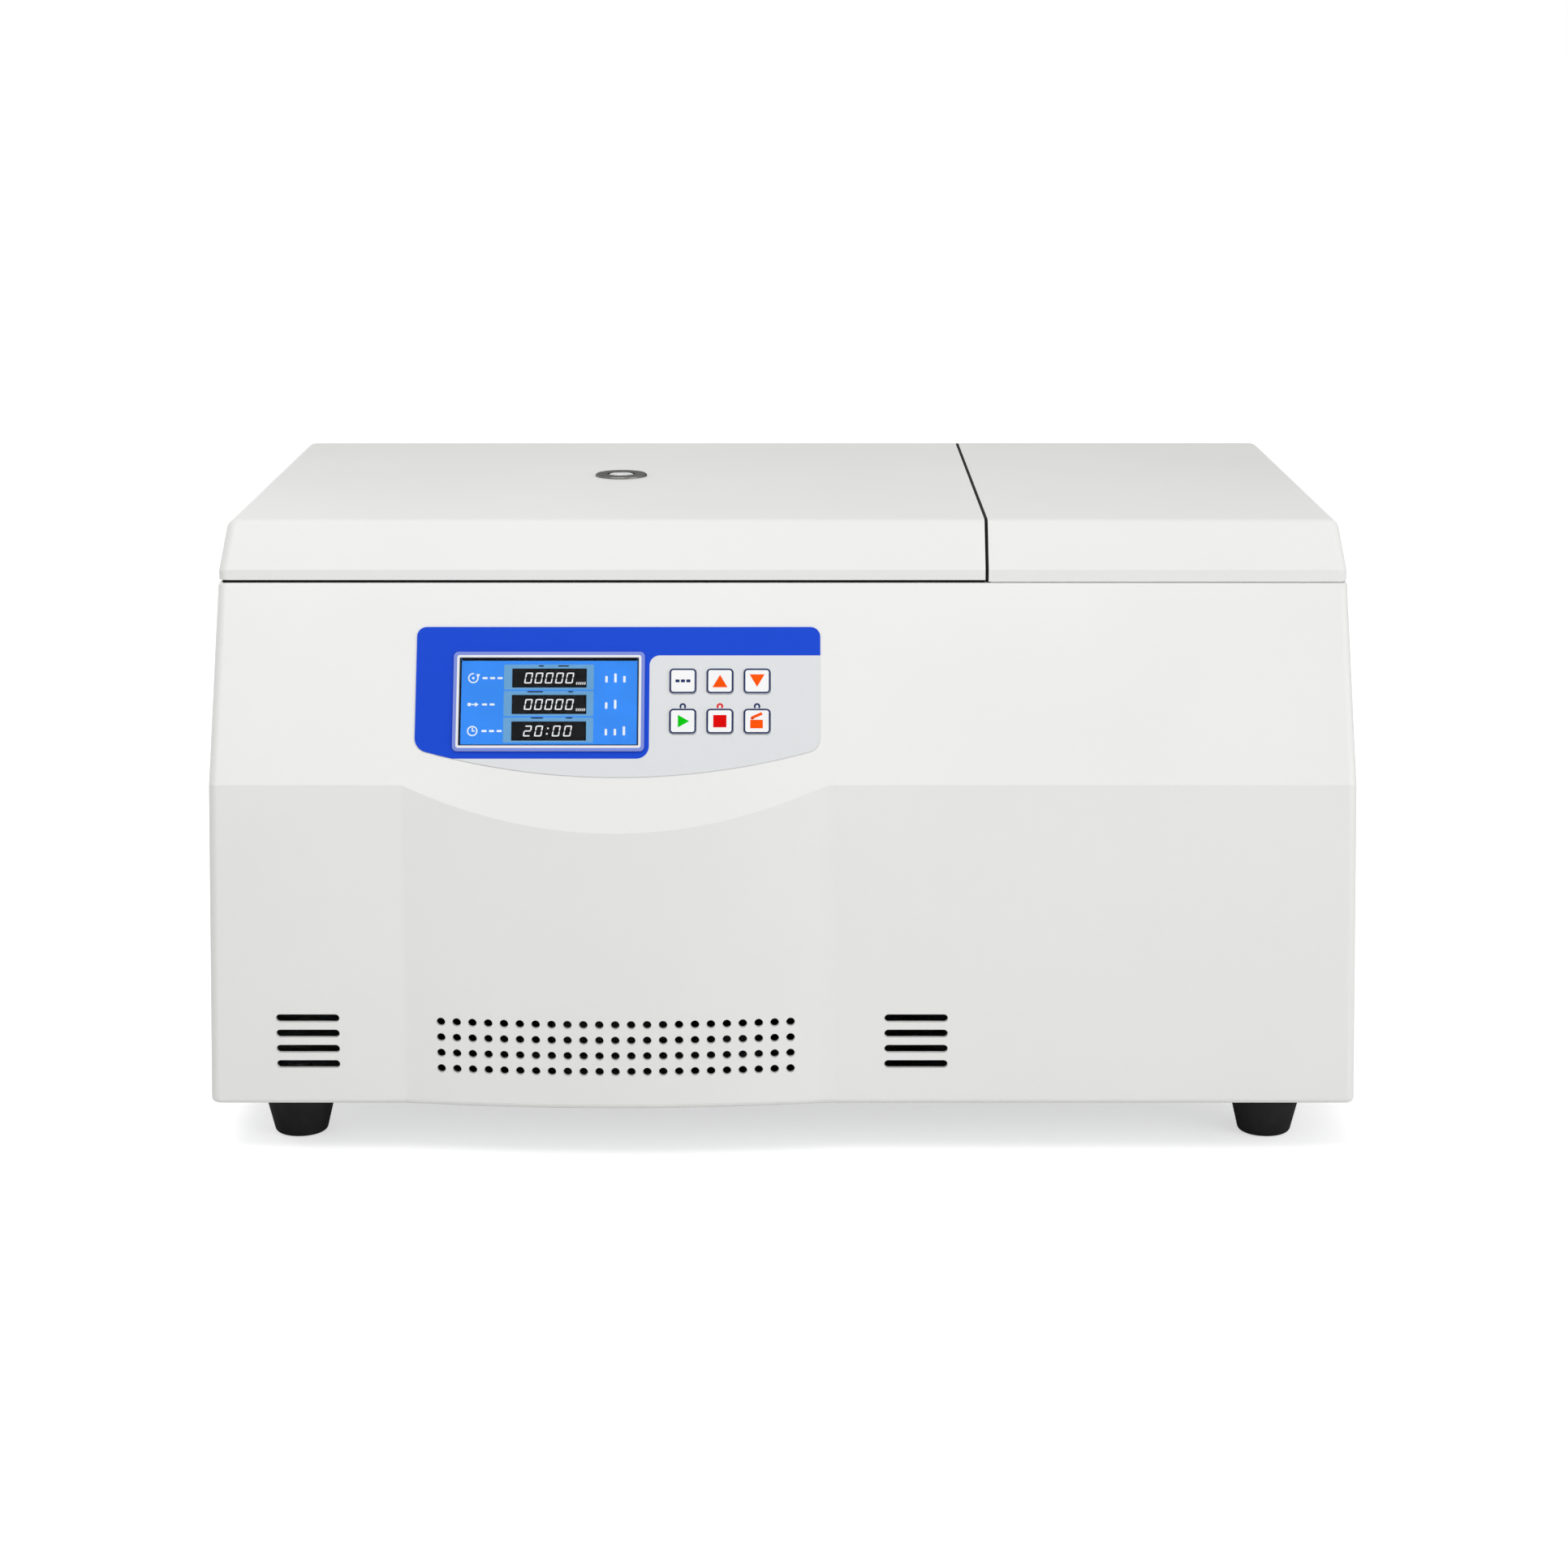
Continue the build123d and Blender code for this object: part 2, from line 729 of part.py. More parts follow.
def make_base_plate():
    """The steel floor, with weld nuts for the feet and vents under the electrics."""
    plate = inner_slab(cabinet_bottom, base_top, face_gap)
    for x, y in foot_places.values():
        plate += upright_cylinder(x, y, weld_nut_radius, base_top - 1, base_top + weld_nut_height)
        plate -= upright_cylinder(x, y, foot_screw_radius + thread_gap, cabinet_bottom - 1, deck_z)
    for x, y in base_screw_places:
        plate -= upright_cylinder(x, y, screw_hole_radius, cabinet_bottom - 1, base_top + 1)
    for row in range(base_vent_rows):
        y = base_vent_y + row * base_vent_pitch
        slot = Pos(base_vent_x, y, cabinet_bottom) * SlotOverall(base_vent_length, base_vent_width)
        plate -= extrude(slot, base_thickness, both=True)
    return plate


def make_rear_panel():
    """The sheet-metal back, with a fan opening, a vent field and the mains cut-outs."""
    room = cabinet_block(wall + face_gap, base_top + face_gap, deck_underside - face_gap, rear_y)
    panel = room & box_between((-big, rear_panel_inner, 0), (big, rear_panel_outer, big))
    middle = (rear_panel_inner + rear_panel_outer) / 2
    panel -= cylinder_along_y(fan_x, fan_z, fan_bore_radius, middle - panel_sheet, middle + panel_sheet)
    for x, z in rear_screw_places:
        panel -= cylinder_along_y(x, z, screw_hole_radius, middle - panel_sheet, middle + panel_sheet)
    for row in range(rear_vent_rows):
        z = rear_vent_z + row * rear_vent_pitch
        plane = Plane(origin=(rear_vent_x, middle, z), z_dir=(0, -1, 0), x_dir=(1, 0, 0))
        panel -= plane * extrude(SlotOverall(rear_vent_length, rear_vent_height), panel_sheet, both=True)
    panel -= Pos(inlet_x, middle, inlet_z) * Box(inlet_body_width, 2 * panel_sheet, inlet_body_height)
    panel -= Pos(switch_x, middle, switch_z) * Box(switch_body_width, 2 * panel_sheet, switch_body_height)
    return panel


def make_partition():
    """The sheet wall between the chamber's side and the electrics, with its foot."""
    room = inner_slab(base_top, deck_underside - face_gap, face_gap)
    sheet = room & box_between((partition_x, -big, 0), (partition_x + partition_sheet, big, big))
    foot_top = base_top + partition_sheet
    foot = room & box_between((partition_x, -big, 0), (partition_x + partition_flange, big, foot_top))
    window = Plane.YZ * Pos(partition_window_y, partition_window_z)
    outline = RectangleRounded(partition_window_width, partition_window_height, partition_window_radius)
    return sheet + foot - window * extrude(outline, partition_x + partition_flange)


def make_foot(x, y):
    """A tapered rubber foot with a recess for its screw."""
    top = cabinet_bottom
    rim = foot_edge_radius
    outline = [
        (foot_screw_radius + screw_hole_gap, foot_recess_depth),
        (foot_recess_radius, foot_recess_depth),
        (foot_recess_radius, 0),
        (foot_bottom_radius, 0),
        (foot_top_radius, top),
        (foot_screw_radius + screw_hole_gap, top),
    ]
    foot = revolved(x, y, outline)
    edge = [e for e in foot.edges().filter_by(GeomType.CIRCLE) if abs(e.radius - foot_bottom_radius) < 0.01]
    return fillet(edge, rim)


def make_foot_screws():
    """One screw up through each foot into its weld nut."""
    length = base_top + weld_nut_height - foot_recess_depth
    one = screw(foot_screw_radius, length, foot_screw_head_radius, foot_screw_head_height)
    return [Pos(x, y, foot_recess_depth) * one for x, y in foot_places.values()]


lid_left = -lid_half_width
lid_right = seam_x - seam_gap / 2
cover_left = seam_x + seam_gap / 2
cover_right = lid_half_width
liner_bottom = deck_z + liner_rise
liner_top = liner_bottom + liner_sheet


def corner_places(left, right, inset):
    """Four screw places inside the corners of a top cover."""
    front = lid_front_y + lid_boss_front_inset
    rear = lid_rear_y - lid_boss_rear_inset
    return [(x, y) for x in (left + inset, right - inset) for y in (front, rear)]


lid_screw_places = corner_places(lid_left, lid_right, lid_boss_inset_x)
cover_screw_places = corner_places(cover_left, cover_right, cover_boss_inset_x)


def cover_shell(left, right, bottom, boss_places, boss_bottom):
    """One top cover: its part of the rounded block, hollowed, with bosses for its screws."""
    cut = box_between((left, -big, 0), (right, big, big))
    hollow_left = left + lid_wall if left > -lid_half_width else -big
    hollow_right = right - lid_wall if right < lid_half_width else big
    room = box_between((hollow_left, -big, 0), (hollow_right, big, big))
    hollow = top_block(lid_wall, bottom - 1) & room
    shell = rounded_top_block(bottom) & cut
    bosses = [upright_cylinder(x, y, boss_radius, boss_bottom, lid_ridge_z) for x, y in boss_places]
    shell = shell - hollow + [boss & top_block(lid_wall / 2, boss_bottom) for boss in bosses]
    for x, y in boss_places:
        shell -= upright_cylinder(x, y, thread_radius, boss_bottom, boss_bottom + screw_length)
    return shell


top_plane = Plane(
    origin=(chamber_x, chamber_y, lid_crease_z + (chamber_y - lid_crease_y) * lid_top_slope),
    x_dir=(1, 0, 0),
    z_dir=(0, -lid_top_slope / sqrt(1 + lid_top_slope**2), 1 / sqrt(1 + lid_top_slope**2)),
)


def make_lid_shell():
    """The moulded hinged lid, with notches for the hinge arms and a hole for the port."""
    shell = cover_shell(lid_left, lid_right, lid_bottom, lid_screw_places, liner_top)
    for x in hinge_places:
        half = knuckle_width / 2 + arm_notch_gap
        low = (x - half, hinge_y - arm_length, 0)
        high = (x + half, lid_rear_y + 1, liner_top + arm_thickness + arm_notch_gap)
        shell -= box_between(low, high)
    return shell - top_plane * Cylinder(port_sleeve_radius + face_gap, 4 * lid_wall)


def make_right_cover():
    """The fixed moulded cover over the electrics, seated on the deck."""
    shell = cover_shell(cover_left, cover_right, deck_z + cover_gap, cover_screw_places, deck_z)
    outer_left, inner_left = cover_left + lid_wall / 2, cover_left + 2 * lid_wall
    rim = top_block(lid_wall / 2, deck_z) & box_between((outer_left, -big, 0), (big, big, lip_top))
    room = top_block(2 * lid_wall, deck_z - 1) & box_between((inner_left, -big, 0), (big, big, big))
    return shell + (rim - room)


def make_lid_liner():
    """The steel inner face of the lid."""
    room = top_block(lid_wall + face_gap, lid_bottom - 1)
    low = (lid_left, -big, liner_bottom)
    high = (lid_right - lid_wall - face_gap, big, liner_top)
    liner = room & box_between(low, high)
    liner -= top_plane * Cylinder(port_sleeve_radius + face_gap, lid_ridge_z)
    liner -= [upright_cylinder(x, y, screw_hole_radius, 0, big) for x, y in lid_screw_places]
    return liner


def make_viewport_ring():
    """The flanged metal sleeve of the viewing port."""
    length = top_plane.origin.Z - liner_bottom
    middle = (port_ring_height - length) / 2
    sleeve = Pos(0, 0, middle) * Cylinder(port_sleeve_radius, length + port_ring_height)
    flange = Pos(0, 0, port_ring_height / 2) * Cylinder(port_ring_radius, port_ring_height)
    flange = fillet(flange.edges().sort_by(Axis.Z)[-1], port_edge_radius)
    ring = sleeve + flange - Pos(0, 0, middle) * Cylinder(port_hole_radius - port_ledge, 2 * length)
    glass_seat = port_ring_height - port_glass_depth - port_glass_thickness
    ring -= Pos(0, 0, glass_seat + length) * Cylinder(port_hole_radius, 2 * length)
    return top_plane * ring


def make_viewport_glass():
    """The glass disc that stands on the sleeve's ledge."""
    seat = port_ring_height - port_glass_depth - port_glass_thickness
    disc = Cylinder(port_hole_radius - thread_gap, port_glass_thickness)
    return top_plane * Pos(0, 0, seat + port_glass_thickness / 2) * disc


# ---- Lid hinge and springs ----

hinge_z = deck_z + hinge_rise
ear_inner = knuckle_width / 2 + ear_gap
ear_outer = ear_inner + ear_thickness


def make_hinge_bracket(x):
    """A leaf on the deck with two ears round the lid arm's knuckle."""
    front, back = hinge_y - ear_radius, hinge_y + leaf_depth - ear_radius
    leaf_top = deck_z + leaf_thickness
    bracket = box_between((x - ear_outer, front, deck_z), (x + ear_outer, back, leaf_top))
    gusset = [(hinge_y, deck_z), (back, deck_z), (back, leaf_top), (hinge_y, hinge_z)]
    for side in (-1, 1):
        low, high = sorted((x + side * ear_inner, x + side * ear_outer))
        bracket += box_between((low, front, deck_z), (high, hinge_y + ear_radius, hinge_z))
        bracket += extruded_along_x(gusset, low, high)
        bracket += cylinder_along_x(hinge_y, hinge_z, ear_radius, low, high)
    bracket -= cylinder_along_x(hinge_y, hinge_z, knuckle_radius + ear_gap, x - ear_inner, x + ear_inner)
    for y in bracket_screws_y:
        bracket -= upright_cylinder(x, y, screw_hole_radius, deck_z - 1, leaf_top + 1)
    bore = hinge_pin_radius + spindle_fit
    return bracket - cylinder_along_x(hinge_y, hinge_z, bore, x - 2 * ear_outer, x + 2 * ear_outer)


def make_lid_arm(x):
    """A steel arm on the liner with the hinge knuckle at its end."""
    half = knuckle_width / 2
    strap_low = (x - half, hinge_y - arm_length, liner_top)
    strap = box_between(strap_low, (x + half, hinge_y, liner_top + arm_thickness))
    knuckle = cylinder_along_x(hinge_y, hinge_z, knuckle_radius, x - half, x + half)
    bore = hinge_pin_radius + hinge_running_gap
    return strap + knuckle - cylinder_along_x(hinge_y, hinge_z, bore, x - knuckle_width, x + knuckle_width)


def outward(x):
    """Which way a hinge's spring stands from it: away from the chamber's axis."""
    return 1 if x > chamber_x else -1


def make_hinge_pin(x):
    """A pin through both ears and the spring, with a head at its outer end."""
    side = outward(x)
    inner_end = x - side * (ear_outer + pin_end)
    outer_end = x + side * (ear_outer + pin_overhang)
    shaft = cylinder_along_x(hinge_y, hinge_z, hinge_pin_radius, *sorted((inner_end, outer_end)))
    head_end = outer_end + side * pin_head_height
    return shaft + cylinder_along_x(hinge_y, hinge_z, pin_head_radius, *sorted((outer_end, head_end)))


def make_lid_spring(x):
    """The torsion spring round the pin's free end, with a leg at each end."""
    side = outward(x)
    leg_drift = spring_leg * spring_pitch / (2 * pi * spring_radius)
    start = x + side * (ear_outer + spring_wire_radius + leg_drift + ear_gap)
    path = Helix(spring_pitch, spring_pitch * spring_turns, spring_radius)
    wire = Circle(spring_wire_radius)
    coil = sweep(Plane(origin=path @ 0, z_dir=path % 0) * wire, path=path, is_frenet=True)
    for end, way in ((0, -1), (1, 1)):
        coil += extrude(Plane(origin=path @ end, z_dir=path % end) * wire, way * spring_leg)
    return Pos(start, hinge_y, hinge_z) * Rot(0, side * 90, 0) * coil


# ---- Latches ----

claw_seat_z = liner_bottom - striker_drop + striker_bar + claw_seat_gap
claw_pivot_y = latch_y + claw_pivot_back
claw_pivot_z = claw_seat_z - claw_pivot_drop
plunger_z = claw_pivot_z - claw_tail + plunger_radius


def make_striker(x):
    """The lid's steel striker: a plate with a window for the claw's nose."""
    half, front = striker_width / 2, latch_y - striker_thickness / 2
    low = (x - half, front, liner_bottom - striker_drop)
    plate = box_between(low, (x + half, front + striker_thickness, liner_bottom))
    wide = striker_flange_width / 2
    low = (x - wide, front, liner_bottom - striker_flange_thickness)
    flange = box_between(low, (x + wide, latch_y + striker_flange_depth, liner_bottom))
    window_bottom = liner_bottom - striker_drop + striker_bar
    window = box_between(
        (x - striker_window_width / 2, latch_y - striker_width, window_bottom),
        (x + striker_window_width / 2, latch_y + striker_width, window_bottom + striker_window_height),
    )
    return plate + flange - window


def make_claw(x):
    """A hooked claw: pivot, arm, nose through the striker's window, and a tail."""
    low, high = x - claw_thickness / 2, x + claw_thickness / 2
    y, z = claw_pivot_y, claw_pivot_z
    half = claw_arm / 2
    top = claw_seat_z + claw_nose
    outline = [
        (y - half, z),
        (y - half, claw_seat_z),
        (y - claw_nose_reach, claw_seat_z),
        (y - claw_nose_reach, claw_seat_z + claw_nose / 2),
        (y - half, top),
        (y + half, top),
        (y + half, z),
    ]
    claw = extruded_along_x(outline, low, high)
    claw += box_between((low, y - half, z - claw_tail), (high, y + half, z))
    claw += cylinder_along_x(y, z, claw_boss_radius, low, high)
    return claw - cylinder_along_x(y, z, claw_pin_radius + hinge_running_gap, low - 1, high + 1)


def make_latch_frame(x):
    """The channel under the deck that carries the claw's pin and the solenoid."""
    front, back = latch_y - latch_frame_front / 2, claw_pivot_y + latch_frame_back
    bottom = claw_pivot_z - claw_tail - latch_frame_foot
    inner, outer = latch_side_gap, latch_side_gap + latch_plate
    frame = box_between((x - outer, back, bottom), (x + outer, back + latch_plate, deck_underside))
    for side in (-1, 1):
        low, high = sorted((x + side * inner, x + side * outer))
        frame += box_between((low, front, claw_pivot_z - claw_boss_radius), (high, back, deck_underside))
        flange_low, flange_high = sorted((x + side * outer, x + side * (outer + latch_flange)))
        tab = ((flange_low, front, deck_underside - latch_plate), (flange_high, back, deck_underside))
        frame += box_between(*tab)
    frame -= cylinder_along_y(x, plunger_z, plunger_radius + 1, back - 1, back + latch_plate + 1)
    bore = claw_pin_radius + spindle_fit
    return frame - cylinder_along_x(claw_pivot_y, claw_pivot_z, bore, x - big, x + big)


def make_latch_pin(x):
    """The claw's pivot pin, flush with the frame's sides."""
    reach = latch_side_gap + latch_plate
    pin = cylinder_along_x(claw_pivot_y, claw_pivot_z, claw_pin_radius, x - reach, x + reach)
    near, far = claw_thickness / 2 + face_gap, latch_side_gap - face_gap
    for side in (-1, 1):
        low, high = sorted((x + side * near, x + side * far))
        pin += cylinder_along_x(claw_pivot_y, claw_pivot_z, claw_collar_radius, low, high)
    return pin


def make_solenoid(x):
    """The solenoid that pulls the claw's tail, with its plunger."""
    back = claw_pivot_y + latch_frame_back + latch_plate
    z = plunger_z
    body = Pos(x, back + solenoid_length / 2, z) * Box(solenoid_width, solenoid_length, solenoid_height)
    body = fillet(body.edges().filter_by(Axis.Y), 3)
    tip = claw_pivot_y + claw_arm / 2 + face_gap
    return body + cylinder_along_y(x, z, plunger_radius, tip, back + solenoid_length / 2)


# ---- Control panel ----

def on_panel(sketch, low, high):
    """A sketch in panel coordinates, extruded between two heights off the panel."""
    return panel_plane(low) * extrude(sketch, amount=high - low)


def make_control_overlay():
    """The printed sheet on the leaning panel, its lower edge bulging down."""
    sag_point = ((overlay_left + overlay_right) / 2, overlay_side_bottom - overlay_sag)
    left_end, right_end = (overlay_left, overlay_side_bottom), (overlay_right, overlay_side_bottom)
    lower_edge = ThreePointArc(left_end, sag_point, right_end)
    corners = [right_end, (overlay_right, overlay_top), (overlay_left, overlay_top), left_end]
    outline = make_face([lower_edge, Polyline(*corners)])
    outline = fillet(outline.vertices().sort_by(Axis.Y)[-2:], overlay_corner_radius)
    outline = fillet(outline.vertices().sort_by(Axis.Y)[:2], overlay_low_radius)
    outline -= Pos(display_x, display_s) * Rectangle(window_width, window_height)
    key_hole = RectangleRounded(key_hole_width, key_hole_height, key_hole_radius)
    outline -= [Pos(*place) * key_hole for place in key_places()]
    return on_panel(outline, 0, overlay_thickness)


def make_display_frame():
    """The raised border of the display, with a lip that goes into the panel."""
    place = Pos(display_x, display_s)
    outer = RectangleRounded(display_width, display_height, display_corner_radius)
    opening = Rectangle(window_width - 2 * frame_lip, window_height - 2 * frame_lip)
    border = on_panel(place * (outer - opening), overlay_thickness, overlay_thickness + frame_height)
    lip_outer = Rectangle(window_width - 2 * face_gap, window_height - 2 * face_gap)
    lip_bottom = window_thickness - wall + face_gap
    return border + on_panel(place * (lip_outer - opening), lip_bottom, overlay_thickness)


def make_display_window():
    """The clear plate inside the display's frame."""
    gap = frame_lip + thread_gap
    pane = Pos(display_x, display_s) * Rectangle(window_width - 2 * gap, window_height - 2 * gap)
    face = overlay_thickness + frame_height - window_sink
    return on_panel(pane, face - window_thickness, face)


def make_display_module():
    """The lit display behind the panel, its glass against the panel's inner face."""
    width = window_width + 2 * module_margin
    height = window_height + 2 * module_margin
    place = Pos(display_x, display_s)
    module = on_panel(place * Rectangle(width, height), -wall - module_thickness, -wall)
    face = overlay_thickness + frame_height - window_sink - window_thickness
    edge = frame_lip + face_gap
    screen = Rectangle(window_width - 2 * edge, window_height - 2 * edge)
    return module + on_panel(place * screen, -wall, face - thread_gap)


def make_key(x, s):
    """A key cap that stands out of the overlay, with its flange and stem behind."""
    cap = RectangleRounded(key_width, key_height, key_radius)
    flange = Rectangle(key_width + 2 * key_flange, key_height + 2 * key_flange)
    flange_top = -wall - face_gap
    flange_bottom = flange_top - key_flange_thickness
    stem_end = tact_height + key_travel + face_gap - board_depth
    key = on_panel(Pos(x, s) * cap, flange_top, overlay_thickness + key_stand)
    key += on_panel(Pos(x, s) * flange, flange_bottom, flange_top)
    return key + on_panel(Pos(x, s) * Circle(key_stem_radius), stem_end, flange_bottom)


def make_control_board():
    """The circuit board behind the panel, with a switch under each key."""
    outline = Pos(board_x, board_s) * Rectangle(board_right - board_left, board_top - board_bottom)
    board = on_panel(outline, -board_depth - board_thickness, -board_depth)
    tact_top = tact_height - board_depth
    for x, s in key_places():
        board += on_panel(Pos(x, s) * Rectangle(tact_size, tact_size), -board_depth, tact_top)
    connector = Pos(board_x, board_s) * Rectangle(connector_length, connector_width)
    low = -board_depth - board_thickness - connector_height
    return board + on_panel(connector, low, -board_depth - board_thickness)


# ---- Chamber ----

bowl_outer = chamber_radius + bowl_wall


def make_chamber_bowl():
    """The spun steel bowl, hung by its flange on the deck."""
    corner = bowl_corner_radius
    floor = chamber_floor_z
    under = floor - bowl_wall
    hole = boot_radius + boot_wall + face_gap
    inside = chamber_radius
    flange = inside + bowl_flange
    bend = sqrt(0.5)
    outline = [
        Line((hole, under), (inside - corner, under)),
        ThreePointArc(
            (inside - corner, under),
            (inside - corner + (corner + bowl_wall) * bend, floor + corner - (corner + bowl_wall) * bend),
            (bowl_outer, floor + corner),
        ),
        Polyline(
            (bowl_outer, floor + corner), (bowl_outer, deck_z), (flange, deck_z), (flange, deck_z + bowl_wall)
        ),
        Polyline((flange, deck_z + bowl_wall), (inside, deck_z + bowl_wall), (inside, floor + corner)),
        ThreePointArc(
            (inside, floor + corner),
            (inside - corner + corner * bend, floor + corner - corner * bend),
            (inside - corner, floor),
        ),
        Polyline((inside - corner, floor), (hole, floor), (hole, under)),
    ]
    section = Plane.XZ * make_face(outline)
    return Pos(chamber_x, chamber_y, 0) * revolve(section, Axis.Z)


def make_lid_seal():
    """The rubber ring on the bowl's flange that the lid closes on."""
    bottom = deck_z + bowl_wall
    height = liner_bottom - seal_gap - bottom
    middle = chamber_radius + seal_inner + seal_width / 2
    section = Pos(middle, bottom + height / 2) * Rectangle(seal_width, height)
    section = fillet(section.vertices().sort_by(Axis.Y)[-2:], height / 2 - seal_groove / 2)
    return Pos(chamber_x, chamber_y, 0) * revolve(Plane.XZ * section, Axis.Z)


def make_guard_ring():
    """The steel armour ring round the bowl, open low down for the air and the motor."""
    top = deck_underside - guard_top_gap
    ring = upright_cylinder(chamber_x, chamber_y, guard_outer, base_top, top)
    foot_radius, foot_top = guard_outer + guard_foot, base_top + guard_foot_thickness
    ring += upright_cylinder(chamber_x, chamber_y, foot_radius, base_top, foot_top)
    ring -= upright_cylinder(chamber_x, chamber_y, guard_inner, base_top - 1, top + 1)
    width = 2 * guard_inner * sin(radians(guard_window_angle))
    sill = base_top + 2 * guard_foot_thickness
    for turn in range(guard_windows // 2):
        window = Box(2 * big, width, guard_window_height)
        angle = 45 + turn * 90
        ring -= Pos(chamber_x, chamber_y, sill + guard_window_height / 2) * Rot(0, 0, angle) * window
    return ring


motor_plate_bottom = base_top + damper_height
motor_bottom = motor_plate_bottom + motor_plate_thickness
motor_top = motor_bottom + motor_height


def make_motor_boot():
    """The rubber sleeve that closes the bowl's floor round the spindle."""
    inner, outer = boot_radius, boot_radius + boot_wall
    low, high = motor_top + face_gap, chamber_floor_z
    rim, rim_top = outer + boot_flange, high + boot_flange_thickness
    outline = [(inner, low), (inner, rim_top), (rim, rim_top), (rim, high), (outer, high)]
    span = (chamber_floor_z - bowl_wall - face_gap - low) / (2 * boot_ribs + 1)
    for rib in range(boot_ribs):
        top = chamber_floor_z - bowl_wall - face_gap - (2 * rib + 1) * span
        outline += [(outer, top), (outer + boot_rib, top - span / 2), (outer, top - span)]
    outline += [(outer, low)]
    return revolved(chamber_x, chamber_y, outline)


# ---- Drive ----

def make_damper(x, y):
    """A waisted rubber mount between the base and the motor plate."""
    low, high = base_top, motor_plate_bottom
    waist = damper_radius - damper_waist
    return revolved(
        x, y, [(0, low), (damper_radius, low), (waist, (low + high) / 2), (damper_radius, high), (0, high)]
    )


def make_motor_plate():
    """The heavy plate that carries the motor on the rubber mounts."""
    outline = RectangleRounded(motor_plate_size, motor_plate_size, motor_plate_corner)
    opening = Circle(motor_radius / 2)
    return Pos(chamber_x, chamber_y, motor_plate_bottom) * extrude(outline - opening, motor_plate_thickness)


stator_outer = motor_radius - motor_wall
stator_inner = stator_outer - stator_thickness
core_radius = stator_inner - air_gap
bearing_low_z = motor_bottom + bearing_ring
bearing_high_z = motor_top - bearing_ring - bearing_width


def make_motor_housing():
    """The motor's finned can with its two end caps and bearing seats."""
    room_low, room_high = motor_bottom + motor_cap, motor_top - motor_cap
    body = upright_cylinder(0, 0, motor_radius, motor_bottom, motor_top)
    body -= upright_cylinder(0, 0, stator_outer, room_low, room_high)
    for bottom in (bearing_low_z, bearing_high_z):
        body -= upright_cylinder(0, 0, bearing_radius + bearing_fit, bottom, bottom + bearing_width)
    body -= upright_cylinder(0, 0, spindle_radius + air_gap, motor_bottom - 1, motor_top + 1)
    throat = bearing_radius - bearing_ring
    body -= upright_cylinder(0, 0, throat, bearing_low_z, room_low + 1)
    body -= upright_cylinder(0, 0, throat, room_high - 1, bearing_high_z + bearing_width)
    fin = Pos(motor_radius + motor_fin_height / 2 - 1, 0, (motor_bottom + motor_top) / 2)
    fin *= Box(motor_fin_height + 2, motor_fin_width, motor_height - 2 * motor_fin_inset)
    body += [Rot(0, 0, 360 * i / motor_fin_count) * fin for i in range(motor_fin_count)]
    return Pos(chamber_x, chamber_y, 0) * body


def make_motor_stator():
    """The laminated stator pressed into the can."""
    low, high = motor_bottom + motor_cap + stator_inset, motor_top - motor_cap - stator_inset
    stator = upright_cylinder(chamber_x, chamber_y, stator_outer, low, high)
    return stator - upright_cylinder(chamber_x, chamber_y, stator_inner, low - 1, high + 1)


def make_bearing(bottom):
    """A shielded ball bearing: both rings and the shields between them."""
    inner = spindle_radius + bearing_fit
    low, high = bottom, bottom + bearing_width
    shield_low, shield_high = low + bearing_shield, high - bearing_shield
    outer_edge, inner_edge = bearing_radius - bearing_ring, inner + bearing_ring
    outline = [(inner, low), (inner_edge, low), (inner_edge, shield_low), (outer_edge, shield_low)]
    outline += [(outer_edge, low), (bearing_radius, low), (bearing_radius, high), (outer_edge, high)]
    outline += [(outer_edge, shield_high), (inner_edge, shield_high), (inner_edge, high), (inner, high)]
    return revolved(chamber_x, chamber_y, outline)


hub_bottom = pivot_z - hub_height / 2
hub_top = pivot_z + hub_height / 2


def make_spindle():
    """The motor's shaft and core, stepped at the top for the rotor's hub and nut."""
    core_low = motor_bottom + motor_cap + core_inset
    core_high = motor_top - motor_cap - core_inset
    spindle = upright_cylinder(0, 0, spindle_radius, motor_bottom + air_gap, hub_bottom)
    spindle += upright_cylinder(0, 0, spindle_top_radius, hub_bottom, hub_top)
    spindle += upright_cylinder(0, 0, spindle_tip_radius, hub_top, hub_top + spindle_tip_height)
    spindle += upright_cylinder(0, 0, core_radius, core_low, core_high)
    return Pos(chamber_x, chamber_y, 0) * spindle


# ---- Swing-out rotor ----

pocket_length = plate_length + 2 * plate_gap
pocket_width = plate_width + 2 * plate_gap
carrier_half_length = pocket_length / 2 + carrier_wall
carrier_half_width = pocket_width / 2 + carrier_wall
ear_face = carrier_half_length + carrier_ear
beam_inner = ear_face + carrier_play
beam_outer = beam_inner + yoke_thickness


